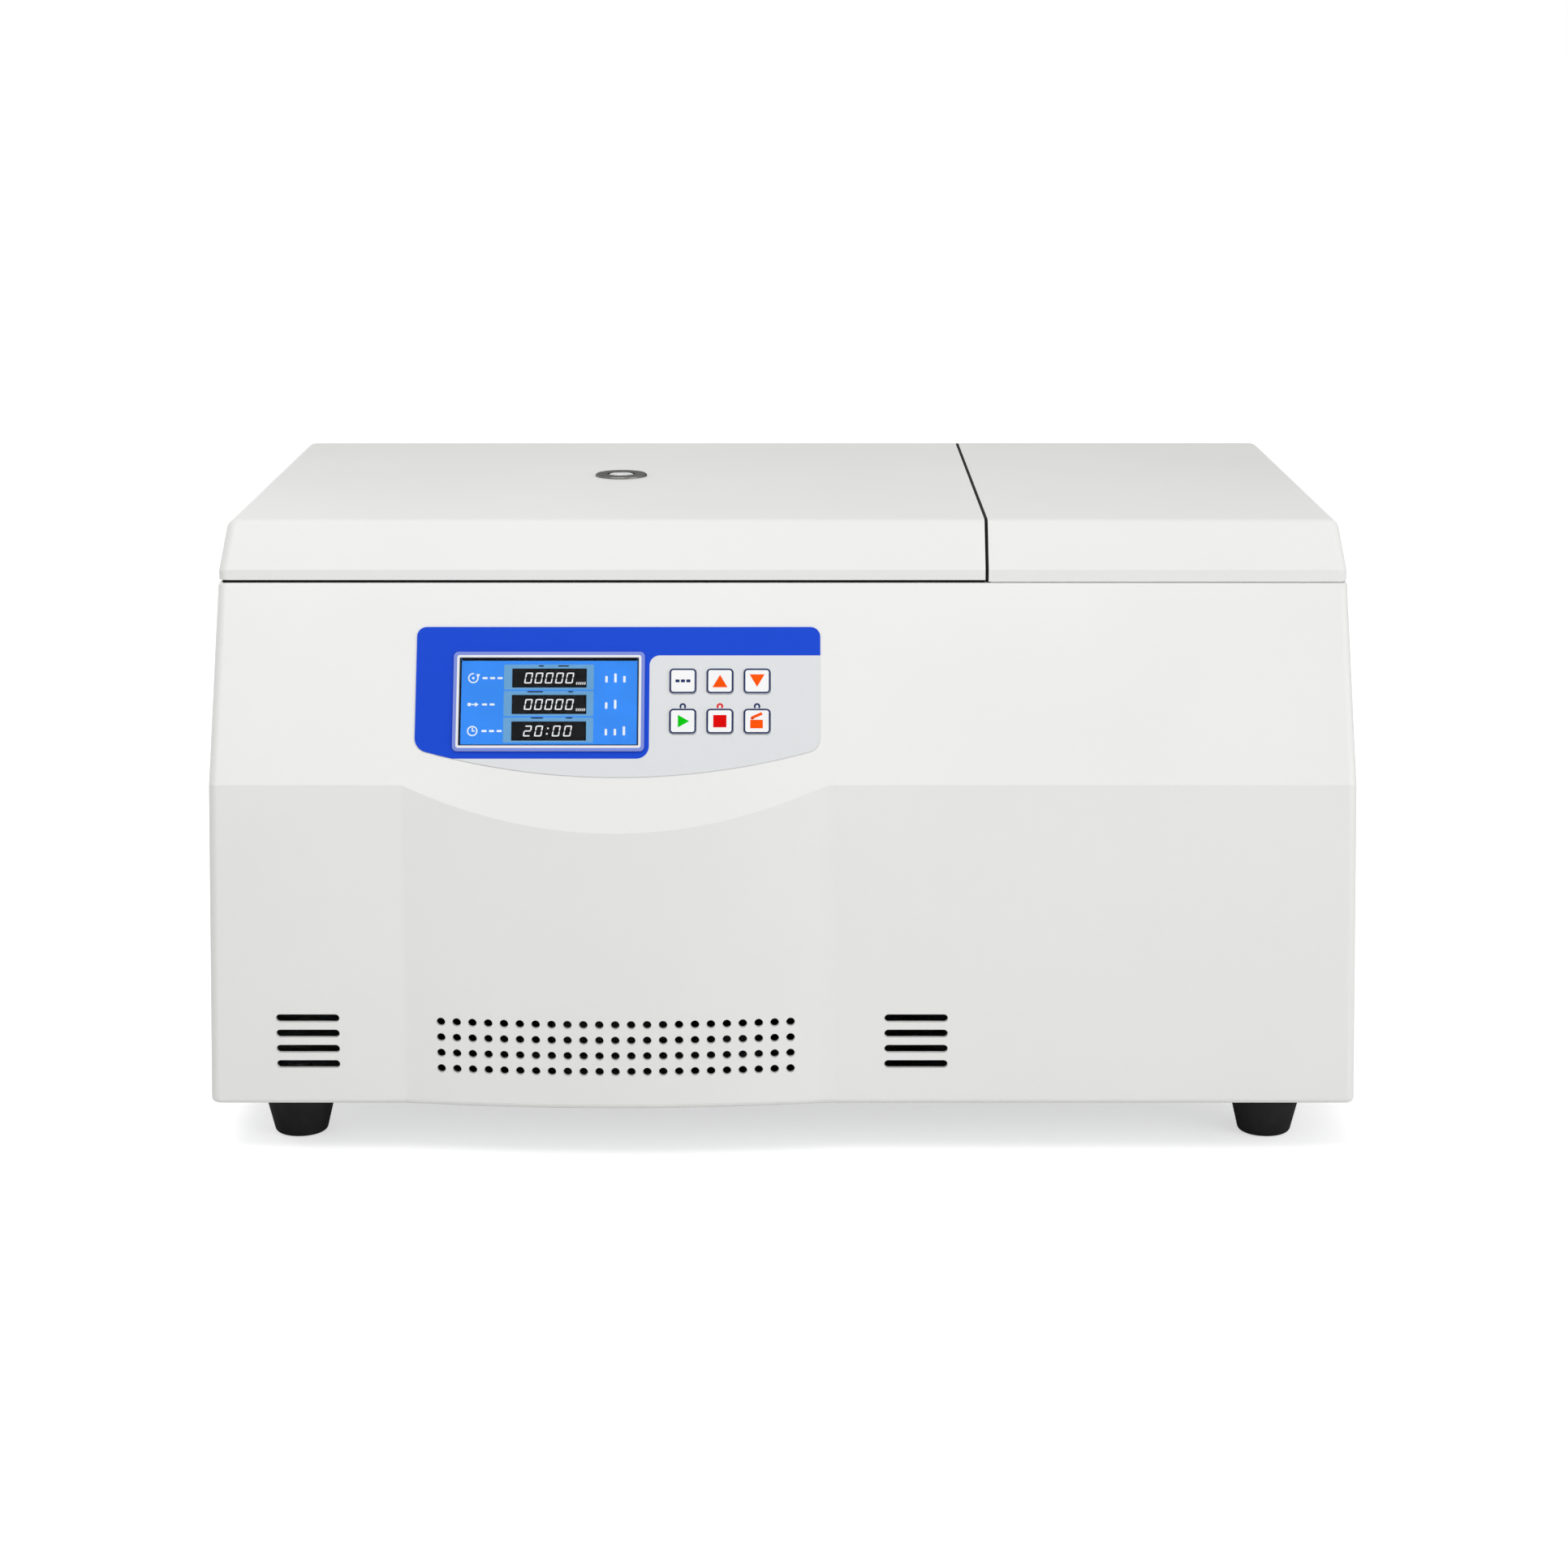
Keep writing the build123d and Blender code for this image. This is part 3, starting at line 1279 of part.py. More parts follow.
def make_carrier(side):
    """A microplate carrier with a floor, low sides and an end wall at each trunnion."""
    bottom = pivot_z - carrier_drop
    half_w, half_l = carrier_half_width, carrier_half_length
    side_top = bottom + carrier_side_height
    tray = box_between((-half_w, -half_l, bottom), (half_w, half_l, side_top))
    cheek = [(-half_w, bottom), (half_w, bottom), (half_w, side_top)]
    cheek += [(carrier_ear_radius, pivot_z), (-carrier_ear_radius, pivot_z), (-half_w, side_top)]
    end_face = make_face(Polyline(*[(x, -half_l, z) for x, z in cheek], close=True))
    end_wall = extrude(end_face, amount=2 * half_l, dir=(0, 1, 0))
    boss = cylinder_along_y(0, pivot_z, carrier_ear_radius, -ear_face, ear_face)
    carrier = tray + end_wall + boss
    pocket_low = (-pocket_width / 2, -pocket_length / 2, bottom + carrier_floor)
    pocket = box_between(pocket_low, (pocket_width / 2, pocket_length / 2, big))
    carrier -= pocket
    opening_low = (-carrier_window_width / 2, -carrier_window_length / 2, 0)
    carrier -= box_between(opening_low, (carrier_window_width / 2, carrier_window_length / 2, big))
    room = box_between((-half_w, -half_l + carrier_wall, side_top), (half_w, half_l - carrier_wall, big))
    carrier -= room
    carrier -= cylinder_along_y(0, pivot_z, trunnion_radius + trunnion_fit, -big, big)
    return Pos(chamber_x + side * pivot_radius, chamber_y, 0) * carrier


def make_rotor_yoke():
    """Two side beams joined by a bridge and a hub, bored for the trunnions."""
    reach = pivot_radius
    yoke = upright_cylinder(0, 0, hub_radius, hub_bottom, hub_top)
    low, high = pivot_z - yoke_bridge_height / 2, pivot_z + yoke_bridge_height / 2
    yoke += box_between((-yoke_bridge / 2, -beam_outer, low), (yoke_bridge / 2, beam_outer, high))
    for way in (-1, 1):
        near, far = sorted((way * beam_inner, way * beam_outer))
        half = yoke_height / 2
        yoke += box_between((-reach, near, pivot_z - half), (reach, far, pivot_z + half))
        yoke += [cylinder_along_y(end * reach, pivot_z, yoke_end_radius, near, far) for end in (-1, 1)]
    for end in (-1, 1):
        yoke -= cylinder_along_y(end * reach, pivot_z, trunnion_radius + trunnion_press, -big, big)
    yoke -= upright_cylinder(0, 0, spindle_top_radius + spindle_fit, 0, big)
    return Pos(chamber_x, chamber_y, 0) * yoke


def make_trunnion(end, way):
    """One pin, pressed into a beam and standing into the carrier's end wall."""
    near, far = sorted((way * (pocket_length / 2 + thread_gap), way * beam_outer))
    x = chamber_x + end * pivot_radius
    return Pos(0, chamber_y, 0) * cylinder_along_y(x, pivot_z, trunnion_radius, near, far)


def make_rotor_nut():
    """The fluted knob that holds the rotor down on the spindle."""
    nut = upright_cylinder(0, 0, nut_radius, hub_top, hub_top + nut_height)
    nut = fillet(nut.edges().sort_by(Axis.Z)[-1], 2)
    flutes = [
        Rot(0, 0, 360 * i / nut_flutes) * upright_cylinder(nut_radius, 0, nut_flute_radius, 0, big)
        for i in range(nut_flutes)
    ]
    bore_top = hub_top + spindle_tip_height + face_gap
    nut -= upright_cylinder(0, 0, spindle_tip_radius + spindle_fit, hub_top - 1, bore_top)
    return Pos(chamber_x, chamber_y, 0) * (nut - flutes)


# ---- Electrics ----

def make_motor_drive():
    """The closed box of the speed drive, on the base plate."""
    bottom = base_top
    low = (drive_x - drive_width / 2, drive_y - drive_depth / 2, bottom)
    box = box_between(low, (drive_x + drive_width / 2, drive_y + drive_depth / 2, bottom + drive_height))
    return fillet(box.edges().filter_by(Axis.Z), drive_edge_radius)


def make_heat_sink():
    """The finned aluminium heat sink on top of the drive."""
    bottom = base_top + drive_height
    left, front = drive_x - drive_width / 2, drive_y - drive_depth / 2
    sink = box_between((left, front, bottom), (left + drive_width, front + drive_depth, bottom + sink_base))
    pitch = (drive_width - sink_fin_thickness) / (sink_fins - 1)
    for i in range(sink_fins):
        x = left + i * pitch
        top = bottom + sink_base + sink_fin_height
        fin_low = (x, front, bottom + sink_base / 2)
        sink += box_between(fin_low, (x + sink_fin_thickness, front + drive_depth, top))
    return sink


fan_front = rear_panel_inner - fan_depth


def make_fan_frame():
    """The square fan frame on the rear panel, with the stub that the impeller turns on."""
    outline = Pos(fan_x, 0, fan_z) * Rot(90, 0, 0) * RectangleRounded(fan_size, fan_size, fan_corner_radius)
    frame = extrude(Pos(0, fan_front, 0) * outline, amount=fan_depth, dir=(0, 1, 0))
    frame -= cylinder_along_y(fan_x, fan_z, fan_bore_radius, fan_front - 1, rear_panel_inner + 1)
    for angle in (45, 135):
        strut = Pos(fan_x, fan_front + fan_strut / 2, fan_z) * Rot(0, angle, 0)
        frame += strut * Box(2 * fan_bore_radius + fan_strut, fan_strut, fan_strut)
    frame += cylinder_along_y(fan_x, fan_z, fan_stub_radius, fan_front, fan_front + fan_stub_depth)
    pin_end = fan_front + fan_stub_depth + fan_hub_depth - fan_blade_gap
    return frame + cylinder_along_y(fan_x, fan_z, fan_pin_radius, fan_front, pin_end)


def make_fan_impeller():
    """The fan's hub and its slanted blades."""
    low = fan_front + fan_stub_depth + face_gap
    high = low + fan_hub_depth - face_gap
    hub = cylinder_along_y(0, 0, fan_hub_radius, low, high)
    reach = fan_bore_radius - fan_blade_gap
    length = reach - fan_hub_radius + fan_blade_root
    blade = Pos(0, (low + high) / 2, reach - length / 2) * Rot(0, 0, fan_blade_angle)
    blade *= Box(fan_blade_chord, fan_blade_thickness, length)
    blades = [Rot(0, 360 * i / fan_blades, 0) * blade for i in range(fan_blades)]
    impeller = (hub + blades) & cylinder_along_y(0, 0, reach, low, high)
    impeller -= cylinder_along_y(0, 0, fan_pin_radius + fan_pin_fit, low - 1, high - fan_blade_gap)
    return Pos(fan_x, 0, fan_z) * impeller


def make_fan_guard():
    """The wire guard over the fan opening, as flat rings and spokes."""
    face = Circle(guard_rings[-1] + guard_wire) - Circle(guard_rings[-1])
    for radius in guard_rings[:-1]:
        face += Circle(radius + guard_wire) - Circle(radius)
    for i in range(guard_spokes):
        face += Rot(0, 0, 180 * i / guard_spokes) * Rectangle(2 * guard_rings[-1] + guard_wire, guard_wire)
    face += Circle(guard_rings[0] / 2)
    plane = Plane(origin=(fan_x, rear_panel_outer, fan_z), z_dir=(0, 1, 0), x_dir=(1, 0, 0))
    return plane * extrude(face, guard_wire)


def make_power_inlet():
    """The three-pin mains inlet, open to the back."""
    back = rear_panel_outer
    front = back - inlet_body_depth
    gap = face_gap
    inlet = Pos(inlet_x, (front + back) / 2, inlet_z)
    inlet *= Box(inlet_body_width - 2 * gap, back - front, inlet_body_height - 2 * gap)
    flange = Pos(inlet_x, back + inlet_flange_thickness / 2, inlet_z)
    inlet += flange * Box(inlet_flange_width, inlet_flange_thickness, inlet_flange_height)
    mouth = back + inlet_flange_thickness
    floor = front + inlet_wall
    cavity = Pos(inlet_x, (floor + mouth) / 2, inlet_z)
    width, height = inlet_body_width - 4 * inlet_wall, inlet_body_height - 2 * inlet_wall
    inlet -= cavity * Box(width, mouth - floor, height)
    pin_end = mouth - inlet_pin_recess
    for way in (-1, 0, 1):
        rise = -inlet_pin_rise if way else inlet_pin_rise
        pin = Pos(inlet_x + way * inlet_pin_spacing, (front + pin_end) / 2, inlet_z + rise)
        inlet += pin * Box(inlet_pin_width, pin_end - front, inlet_pin_height)
    return inlet


switch_back = rear_panel_outer + inlet_flange_thickness
rocker_half_width = switch_flange_width / 2 - 2 * switch_wall - rocker_gap
rocker_half_height = switch_flange_height / 2 - 2 * switch_wall - rocker_gap
rocker_pin_y = switch_back - rocker_sink - 2 * rocker_pin_radius


def make_switch_frame():
    """The snap-in frame of the mains switch, with the rocker's pin across it."""
    front = rear_panel_outer - switch_body_depth
    frame = Pos(switch_x, (front + rear_panel_outer) / 2, switch_z)
    frame *= Box(switch_body_width - 2 * face_gap, switch_body_depth, switch_body_height - 2 * face_gap)
    flange = Pos(switch_x, rear_panel_outer + inlet_flange_thickness / 2, switch_z)
    frame += flange * Box(switch_flange_width, inlet_flange_thickness, switch_flange_height)
    width, height = 2 * (rocker_half_width + rocker_gap), 2 * (rocker_half_height + rocker_gap)
    room = Pos(switch_x, (front + switch_wall + switch_back) / 2, switch_z)
    frame -= room * Box(width, switch_back - front - switch_wall, height)
    left, right = switch_x - width / 2 - 1, switch_x + width / 2 + 1
    return frame + cylinder_along_x(rocker_pin_y, switch_z, rocker_pin_radius, left, right)


def make_switch_rocker():
    """The rocker: a shallow vee that turns on the frame's pin."""
    y = rocker_pin_y
    rise = rocker_half_height * tan(radians(rocker_angle))
    low, high = switch_x - rocker_half_width, switch_x + rocker_half_width
    z = switch_z
    top = rocker_half_height * cos(radians(rocker_angle))
    outline = [
        (y - 2 * rocker_pin_radius, z - top / 2),
        (y + rocker_pin_radius, z - top),
        (y + 2 * rocker_pin_radius, z - top),
        (y + 2 * rocker_pin_radius, z),
        (y + 2 * rocker_pin_radius + rise / 2, z + top),
        (y + rise / 2 - rocker_pin_radius, z + top),
        (y - 2 * rocker_pin_radius, z + top / 2),
    ]
    rocker = extruded_along_x(outline, low, high)
    return rocker - cylinder_along_x(y, z, rocker_pin_radius + rocker_pin_fit, low - 1, high + 1)


# ---- Screws of the case and the lid ----

def make_case_screws():
    """All the equal case screws: base, rear panel, right cover and hinge brackets."""
    screws = [Pos(x, y, cabinet_bottom) * small_screw() for x, y in base_screw_places]
    screws += [Pos(x, rear_panel_outer, z) * Rot(90, 0, 0) * small_screw() for x, z in rear_screw_places]
    screws += [Pos(x, y, deck_underside) * small_screw() for x, y in cover_screw_places]
    seat = deck_z + leaf_thickness
    screws += [Pos(x, y, seat) * Rot(180, 0, 0) * small_screw() for x, y in bracket_screw_places]
    return screws


def make_lid_screws():
    """The screws up through the liner into the lid's bosses."""
    return [Pos(x, y, liner_bottom) * small_screw() for x, y in lid_screw_places]


# ---- Every node ----

os.makedirs("parts", exist_ok=True)

save("housing", make_housing())
save("base_plate", make_base_plate())
save("rear_panel", make_rear_panel())
save("partition", make_partition())
save("right_cover", make_right_cover())
for foot_name, place in foot_places.items():
    save(f"foot_{foot_name}", make_foot(*place))
save("foot_screws", *make_foot_screws())
save("case_screws", *make_case_screws())

save("lid_shell", make_lid_shell())
save("lid_liner", make_lid_liner())
save("lid_screws", *make_lid_screws())
save("viewport_ring", make_viewport_ring())
save("viewport_glass", make_viewport_glass())
save("lid_arms", *[make_lid_arm(x) for x in hinge_places])
save("lid_strikers", *[make_striker(x) for x in latch_places])
save("hinge_brackets", *[make_hinge_bracket(x) for x in hinge_places])
save("hinge_pins", *[make_hinge_pin(x) for x in hinge_places])
save("lid_springs", *[make_lid_spring(x) for x in hinge_places])

save("latch_claw_left", make_claw(latch_places[0]))
save("latch_claw_right", make_claw(latch_places[1]))
save("latch_frames", *[make_latch_frame(x) for x in latch_places])
save("latch_pins", *[make_latch_pin(x) for x in latch_places])
save("latch_solenoids", *[make_solenoid(x) for x in latch_places])

save("control_overlay", make_control_overlay())
save("display_frame", make_display_frame())
save("display_window", make_display_window())
save("display_module", make_display_module())
save("control_board", make_control_board())
for key_name, place in zip(("set", "up", "down", "start", "stop", "lid"), key_places()):
    save(f"key_{key_name}", make_key(*place))

save("chamber_bowl", make_chamber_bowl())
save("lid_seal", make_lid_seal())
save("guard_ring", make_guard_ring())
save("motor_boot", make_motor_boot())
save("motor_dampers", *[make_damper(*place) for place in damper_places])
save("motor_plate", make_motor_plate())
save("motor_housing", make_motor_housing())
save("motor_stator", make_motor_stator())
save("spindle_bearings", make_bearing(bearing_low_z), make_bearing(bearing_high_z))
save("spindle", make_spindle())
save("rotor_yoke", make_rotor_yoke())
save("trunnion_pins", *[make_trunnion(end, way) for end in (-1, 1) for way in (-1, 1)])
save("rotor_nut", make_rotor_nut())
save("carrier_left", make_carrier(-1))
save("carrier_right", make_carrier(1))

save("motor_drive", make_motor_drive())
save("heat_sink", make_heat_sink())
save("fan_frame", make_fan_frame())
save("fan_impeller", make_fan_impeller())
save("fan_guard", make_fan_guard())
save("power_inlet", make_power_inlet())
save("switch_frame", make_switch_frame())
save("switch_rocker", make_switch_rocker())
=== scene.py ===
from math import cos, radians, sin, tau

import bmesh
import bpy
from mathutils import Matrix, Vector


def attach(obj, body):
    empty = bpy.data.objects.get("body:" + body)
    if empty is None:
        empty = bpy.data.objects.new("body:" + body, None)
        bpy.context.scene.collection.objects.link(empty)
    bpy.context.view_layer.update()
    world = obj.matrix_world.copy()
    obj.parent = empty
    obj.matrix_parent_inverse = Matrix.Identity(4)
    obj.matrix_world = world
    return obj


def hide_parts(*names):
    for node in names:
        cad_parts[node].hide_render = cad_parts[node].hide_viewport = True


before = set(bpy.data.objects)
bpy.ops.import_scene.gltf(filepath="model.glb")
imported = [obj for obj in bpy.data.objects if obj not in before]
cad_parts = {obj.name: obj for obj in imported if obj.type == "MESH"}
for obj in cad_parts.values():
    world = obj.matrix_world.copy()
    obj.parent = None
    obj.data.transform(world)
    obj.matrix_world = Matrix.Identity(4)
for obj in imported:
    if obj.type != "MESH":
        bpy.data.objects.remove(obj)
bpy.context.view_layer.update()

# ---- Camera ----
# A long lens from the front, a little above the lid, looking down at the instrument.
# The frame is shifted down so that the bench shows below the feet.
camera_data = bpy.data.cameras.new("camera")
camera_data.lens = 73.97
camera_data.sensor_width = 36.0
camera_data.shift_x = 0.0008
camera_data.shift_y = -0.0600
camera = bpy.data.objects.new("camera", camera_data)
camera.location = (0.0, -2.166, 0.681)
camera.rotation_euler = (radians(78.5), 0.0, 0.0)
bpy.context.scene.collection.objects.link(camera)
bpy.context.scene.camera = camera
bpy.context.scene.view_settings.view_transform = "Standard"

# ---- Bench and light ----
# A plain white bench that runs to the horizon, under a pale even sky and three wide soft lamps.
# The bench adds a little of its own white to what the camera sees, and keeps the shadow.
bpy.ops.mesh.primitive_plane_add(size=120.0, location=(0.0, 0.0, -0.0002))
bench = bpy.context.object
bench.name = "bench_top"
bench_white = bpy.data.materials.new("bench_white")
bench_white.use_nodes = True
nodes, links = bench_white.node_tree.nodes, bench_white.node_tree.links
shader = nodes["Principled BSDF"]
shader.inputs["Base Color"].default_value = (0.86, 0.86, 0.86, 1.0)
shader.inputs["Roughness"].default_value = 0.9
shader.inputs["Specular IOR Level"].default_value = 0.0
shader.inputs["Emission Color"].default_value = (1.0, 1.0, 1.0, 1.0)
path = nodes.new("ShaderNodeLightPath")
glow = nodes.new("ShaderNodeMath")
glow.operation = "MULTIPLY"
glow.inputs[1].default_value = 0.58
links.new(path.outputs["Is Camera Ray"], glow.inputs[0])
links.new(glow.outputs[0], shader.inputs["Emission Strength"])
bench.data.materials.append(bench_white)

world = bpy.data.worlds.new("pale_room")
bpy.context.scene.world = world
world.use_nodes = True
nodes, links = world.node_tree.nodes, world.node_tree.links
sky = nodes["Background"]
sky.inputs["Color"].default_value = (1.0, 1.0, 1.0, 1.0)
path = nodes.new("ShaderNodeLightPath")
clear = nodes.new("ShaderNodeMath")
clear.operation = "MAXIMUM"
links.new(path.outputs["Is Glossy Ray"], clear.inputs[0])
links.new(path.outputs["Is Transmission Ray"], clear.inputs[1])
seen = nodes.new("ShaderNodeMath")
seen.operation = "MAXIMUM"
links.new(path.outputs["Is Camera Ray"], seen.inputs[0])
links.new(clear.outputs[0], seen.inputs[1])
strength = nodes.new("ShaderNodeMapRange")
strength.inputs["To Min"].default_value = 0.50
strength.inputs["To Max"].default_value = 1.0
links.new(seen.outputs[0], strength.inputs["Value"])
links.new(strength.outputs["Result"], sky.inputs["Strength"])


def soft_lamp(name, place, target, width, height, watts):
    """A wide area lamp aimed at a point."""
    lamp = bpy.data.lights.new(name, "AREA")
    lamp.shape = "RECTANGLE"
    lamp.size = width
    lamp.size_y = height
    lamp.energy = watts
    stand = bpy.data.objects.new(name, lamp)
    stand.location = place
    stand.rotation_euler = (Vector(target) - Vector(place)).to_track_quat("-Z", "Y").to_euler()
    bpy.context.scene.collection.objects.link(stand)


soft_lamp("front_lamp", (2.9, -1.9, 0.95), (0.0, 0.0, 0.2), 2.0, 1.6, 34.0)
soft_lamp("near_lamp", (-0.3, -0.95, 1.5), (-0.1, -0.05, 0.3), 1.4, 0.7, 10.4)
soft_lamp("rear_lamp", (-2.2, 2.4, 0.9), (0.0, 0.0, 0.2), 2.2, 1.4, 20.0)


# ---- Cabinet shell ----
# A moulded shell in pale warm grey with a fine even grain, open below and at the back.
# The slots and the round holes in its lower front let air in.
def new_group(name, inputs, outputs):
    """An empty shader group with named number sockets."""
    tree = bpy.data.node_groups.new(name, "ShaderNodeTree")
    for label, start in inputs:
        socket = tree.interface.new_socket(label, in_out="INPUT", socket_type="NodeSocketFloat")
        socket.default_value = start
    for label in outputs:
        tree.interface.new_socket(label, in_out="OUTPUT", socket_type="NodeSocketFloat")
    return tree, tree.nodes.new("NodeGroupInput"), tree.nodes.new("NodeGroupOutput")


def object_point(tree, stretch=(1.0, 1.0, 1.0)):
    """The surface point in metres, stretched to give a grain its direction."""
    place = tree.nodes.new("ShaderNodeTexCoord")
    mapping = tree.nodes.new("ShaderNodeMapping")
    mapping.inputs["Scale"].default_value = stretch
    tree.links.new(place.outputs["Object"], mapping.inputs["Vector"])
    return mapping.outputs["Vector"]


def noise(tree, vector, detail=2.0):
    """A noise texture on a vector."""
    texture = tree.nodes.new("ShaderNodeTexNoise")
    texture.inputs["Detail"].default_value = detail
    tree.links.new(vector, texture.inputs["Vector"])
    return texture


def ramp(tree, value, low, high, bottom=0.0, top=1.0):
    """A smooth step of a value between two limits."""
    step = tree.nodes.new("ShaderNodeMapRange")
    step.interpolation_type = "SMOOTHSTEP"
    for label, number in (("From Min", low), ("From Max", high), ("To Min", bottom), ("To Max", top)):
        step.inputs[label].default_value = number
    tree.links.new(value, step.inputs["Value"])
    return step.outputs["Result"]


def calculate(tree, operation, first, second):
    """One sum with two values, each a socket or a number."""
    node = tree.nodes.new("ShaderNodeMath")
    node.operation = operation
    for socket, value in zip(node.inputs, (first, second)):
        if isinstance(value, (int, float)):
            socket.default_value = value
        else:
            tree.links.new(value, socket)
    return node.outputs[0]


def mixed(tree, mask, first, second):
    """One colour or another by a mask; each is a socket or a plain colour."""
    node = tree.nodes.new("ShaderNodeMix")
    node.data_type = "RGBA"
    tree.links.new(mask, node.inputs[0])
    for socket, value in ((node.inputs[6], first), (node.inputs[7], second)):
        if isinstance(value, tuple):
            socket.default_value = (*value, 1.0)
        else:
            tree.links.new(value, socket)
    return node.outputs[2]


# Worn edges: how far the rounded normal leans from the true one, broken up by noise.
edge_rub, rub_in, rub_out = new_group("edge_rub", [("Radius", 0.0006), ("Breakup", 90.0)], ["Mask"])
rounded = edge_rub.nodes.new("ShaderNodeBevel")
rounded.samples = 4
edge_rub.links.new(rub_in.outputs["Radius"], rounded.inputs["Radius"])
true = edge_rub.nodes.new("ShaderNodeNewGeometry")
lean = edge_rub.nodes.new("ShaderNodeVectorMath")
lean.operation = "DOT_PRODUCT"
edge_rub.links.new(rounded.outputs["Normal"], lean.inputs[0])
edge_rub.links.new(true.outputs["Normal"], lean.inputs[1])
rub_noise = noise(edge_rub, object_point(edge_rub), 4.0)
edge_rub.links.new(rub_in.outputs["Breakup"], rub_noise.inputs["Scale"])
near_edge = ramp(edge_rub, lean.outputs["Value"], 0.985, 0.80)
patchy = ramp(edge_rub, rub_noise.outputs["Fac"], 0.44, 0.62)
edge_rub.links.new(calculate(edge_rub, "MULTIPLY", near_edge, patchy), rub_out.inputs["Mask"])

# Slow drift of tone over a surface, with finer handling marks in it.
tone_drift, drift_in, drift_out = new_group("tone_drift", [("Scale", 4.0)], ["Tone", "Marks"])
broad = noise(tone_drift, object_point(tone_drift), 3.0)
tone_drift.links.new(drift_in.outputs["Scale"], broad.inputs["Scale"])
tone_drift.links.new(broad.outputs["Fac"], drift_out.inputs["Tone"])
marks = noise(tone_drift, object_point(tone_drift, (1.0, 1.0, 3.0)), 6.0)
tone_drift.links.new(calculate(tone_drift, "MULTIPLY", drift_in.outputs["Scale"], 6.0), marks.inputs["Scale"])
tone_drift.links.new(ramp(tone_drift, marks.outputs["Fac"], 0.45, 0.75), drift_out.inputs["Marks"])


def use(tree, group, **values):
    """Places a group in a material with its own values."""
    node = tree.nodes.new("ShaderNodeGroup")
    node.node_tree = group
    for label, value in values.items():
        node.inputs[label.capitalize()].default_value = value
    return node


mm = 0.001


def finish(name, light, dark, roughness, metallic=0.0, worn=None, grain=900.0, depth=0.02, stretch=(1, 1, 1),
           drift=4.0, round_edge=0.0004, spread=0.08, rub=0.6, specular=0.5):
    """A material: two tones, a grain in bump and roughness, softened and rubbed edges."""
    material = bpy.data.materials.new(name)
    material.use_nodes = True
    tree = material.node_tree
    shader = tree.nodes["Principled BSDF"]
    shader.inputs["Metallic"].default_value = metallic
    shader.inputs["Specular IOR Level"].default_value = specular
    tone = use(tree, tone_drift, scale=drift)
    colour = mixed(tree, ramp(tree, tone.outputs["Tone"], 0.35, 0.65), dark, light)
    if worn is not None:
        rubbed = use(tree, edge_rub, radius=0.0006)
        weight = calculate(tree, "MULTIPLY", rubbed.outputs["Mask"], rub)
        colour = mixed(tree, weight, colour, worn)
    tree.links.new(colour, shader.inputs["Base Color"])
    texture = noise(tree, object_point(tree, stretch), 3.0)
    texture.inputs["Scale"].default_value = grain
    rough = ramp(tree, texture.outputs["Fac"], 0.3, 0.7, roughness - spread / 2, roughness + spread / 2)
    handled = calculate(tree, "MULTIPLY", tone.outputs["Marks"], spread)
    tree.links.new(calculate(tree, "ADD", rough, handled), shader.inputs["Roughness"])
    bump = tree.nodes.new("ShaderNodeBump")
    bump.inputs["Strength"].default_value = 1.0
    bump.inputs["Distance"].default_value = depth * mm
    tree.links.new(texture.outputs["Fac"], bump.inputs["Height"])
    if round_edge:
        soft = tree.nodes.new("ShaderNodeBevel")
        soft.samples = 4
        soft.inputs["Radius"].default_value = round_edge
        tree.links.new(soft.outputs["Normal"], bump.inputs["Normal"])
    tree.links.new(bump.outputs["Normal"], shader.inputs["Normal"])
    return material


def dress(material, *names):
    """Gives CAD nodes their material."""
    for name in names:
        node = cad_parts[name]
        node.data.materials.clear()
        node.data.materials.append(material)


casing_paint = finish("casing_paint", (0.810, 0.810, 0.797), (0.785, 0.785, 0.772), 0.46,
                      worn=(0.86, 0.86, 0.85), grain=1400.0, depth=0.015, drift=3.0, rub=0.35)
dress(casing_paint, "housing")

# ---- Lid and right cover ----
# Two white mouldings with a leaning front, a crease and a thin lip all round.
# The left one opens over the chamber; the right one is screwed down.
lid_paint = finish("lid_paint", (0.820, 0.820, 0.808), (0.795, 0.795, 0.785), 0.55,
                   worn=(0.88, 0.88, 0.87), grain=1500.0, depth=0.012, drift=2.5, rub=0.35, specular=0.15)
dress(lid_paint, "lid_shell", "right_cover")

# ---- Feet, boot, dampers and lid seal ----
# Black rubber, moulded with a slightly dull skin, then screwed or pressed into place.
# The seal is a softer charcoal profile laid on the deck round the mouth of the chamber.
foot_rubber = finish("foot_rubber", (0.030, 0.030, 0.030), (0.022, 0.022, 0.022), 0.70, worn=(0.05, 0.05, 0.05),
                     grain=1100.0, depth=0.05, drift=30.0, rub=0.4, specular=0.06)
dress(foot_rubber, "foot_front_left", "foot_front_right", "foot_rear_left", "foot_rear_right",
      "motor_boot", "motor_dampers")
seal_rubber = finish("seal_rubber", (0.055, 0.055, 0.058), (0.038, 0.038, 0.040), 0.70,
                     grain=1600.0, depth=0.04, drift=40.0)
dress(seal_rubber, "lid_seal")


# ---- Deck strips: painted shade ----
# A flat black rubber strip glued to the deck just inside the lid's edge, along its front and left side, is painted
# shade that makes the gap under the lid read black.
# A thin black strip also lines the side of the right cover in the seam beside the lid, painted shade that darkens that
# seam.
def deselect():
    """Leaves nothing selected."""
    bpy.ops.object.select_all(action="DESELECT")


def choose(piece):
    """Selects one piece and makes it active."""
    deselect()
    piece.select_set(True)
    bpy.context.view_layer.objects.active = piece


def settle(piece, place):
    """Puts a piece where it belongs and its place into its mesh."""
    piece.data.transform(piece.matrix_basis)
    piece.matrix_basis = Matrix.Identity(4)
    piece.data.transform(place)
    piece.data.update()


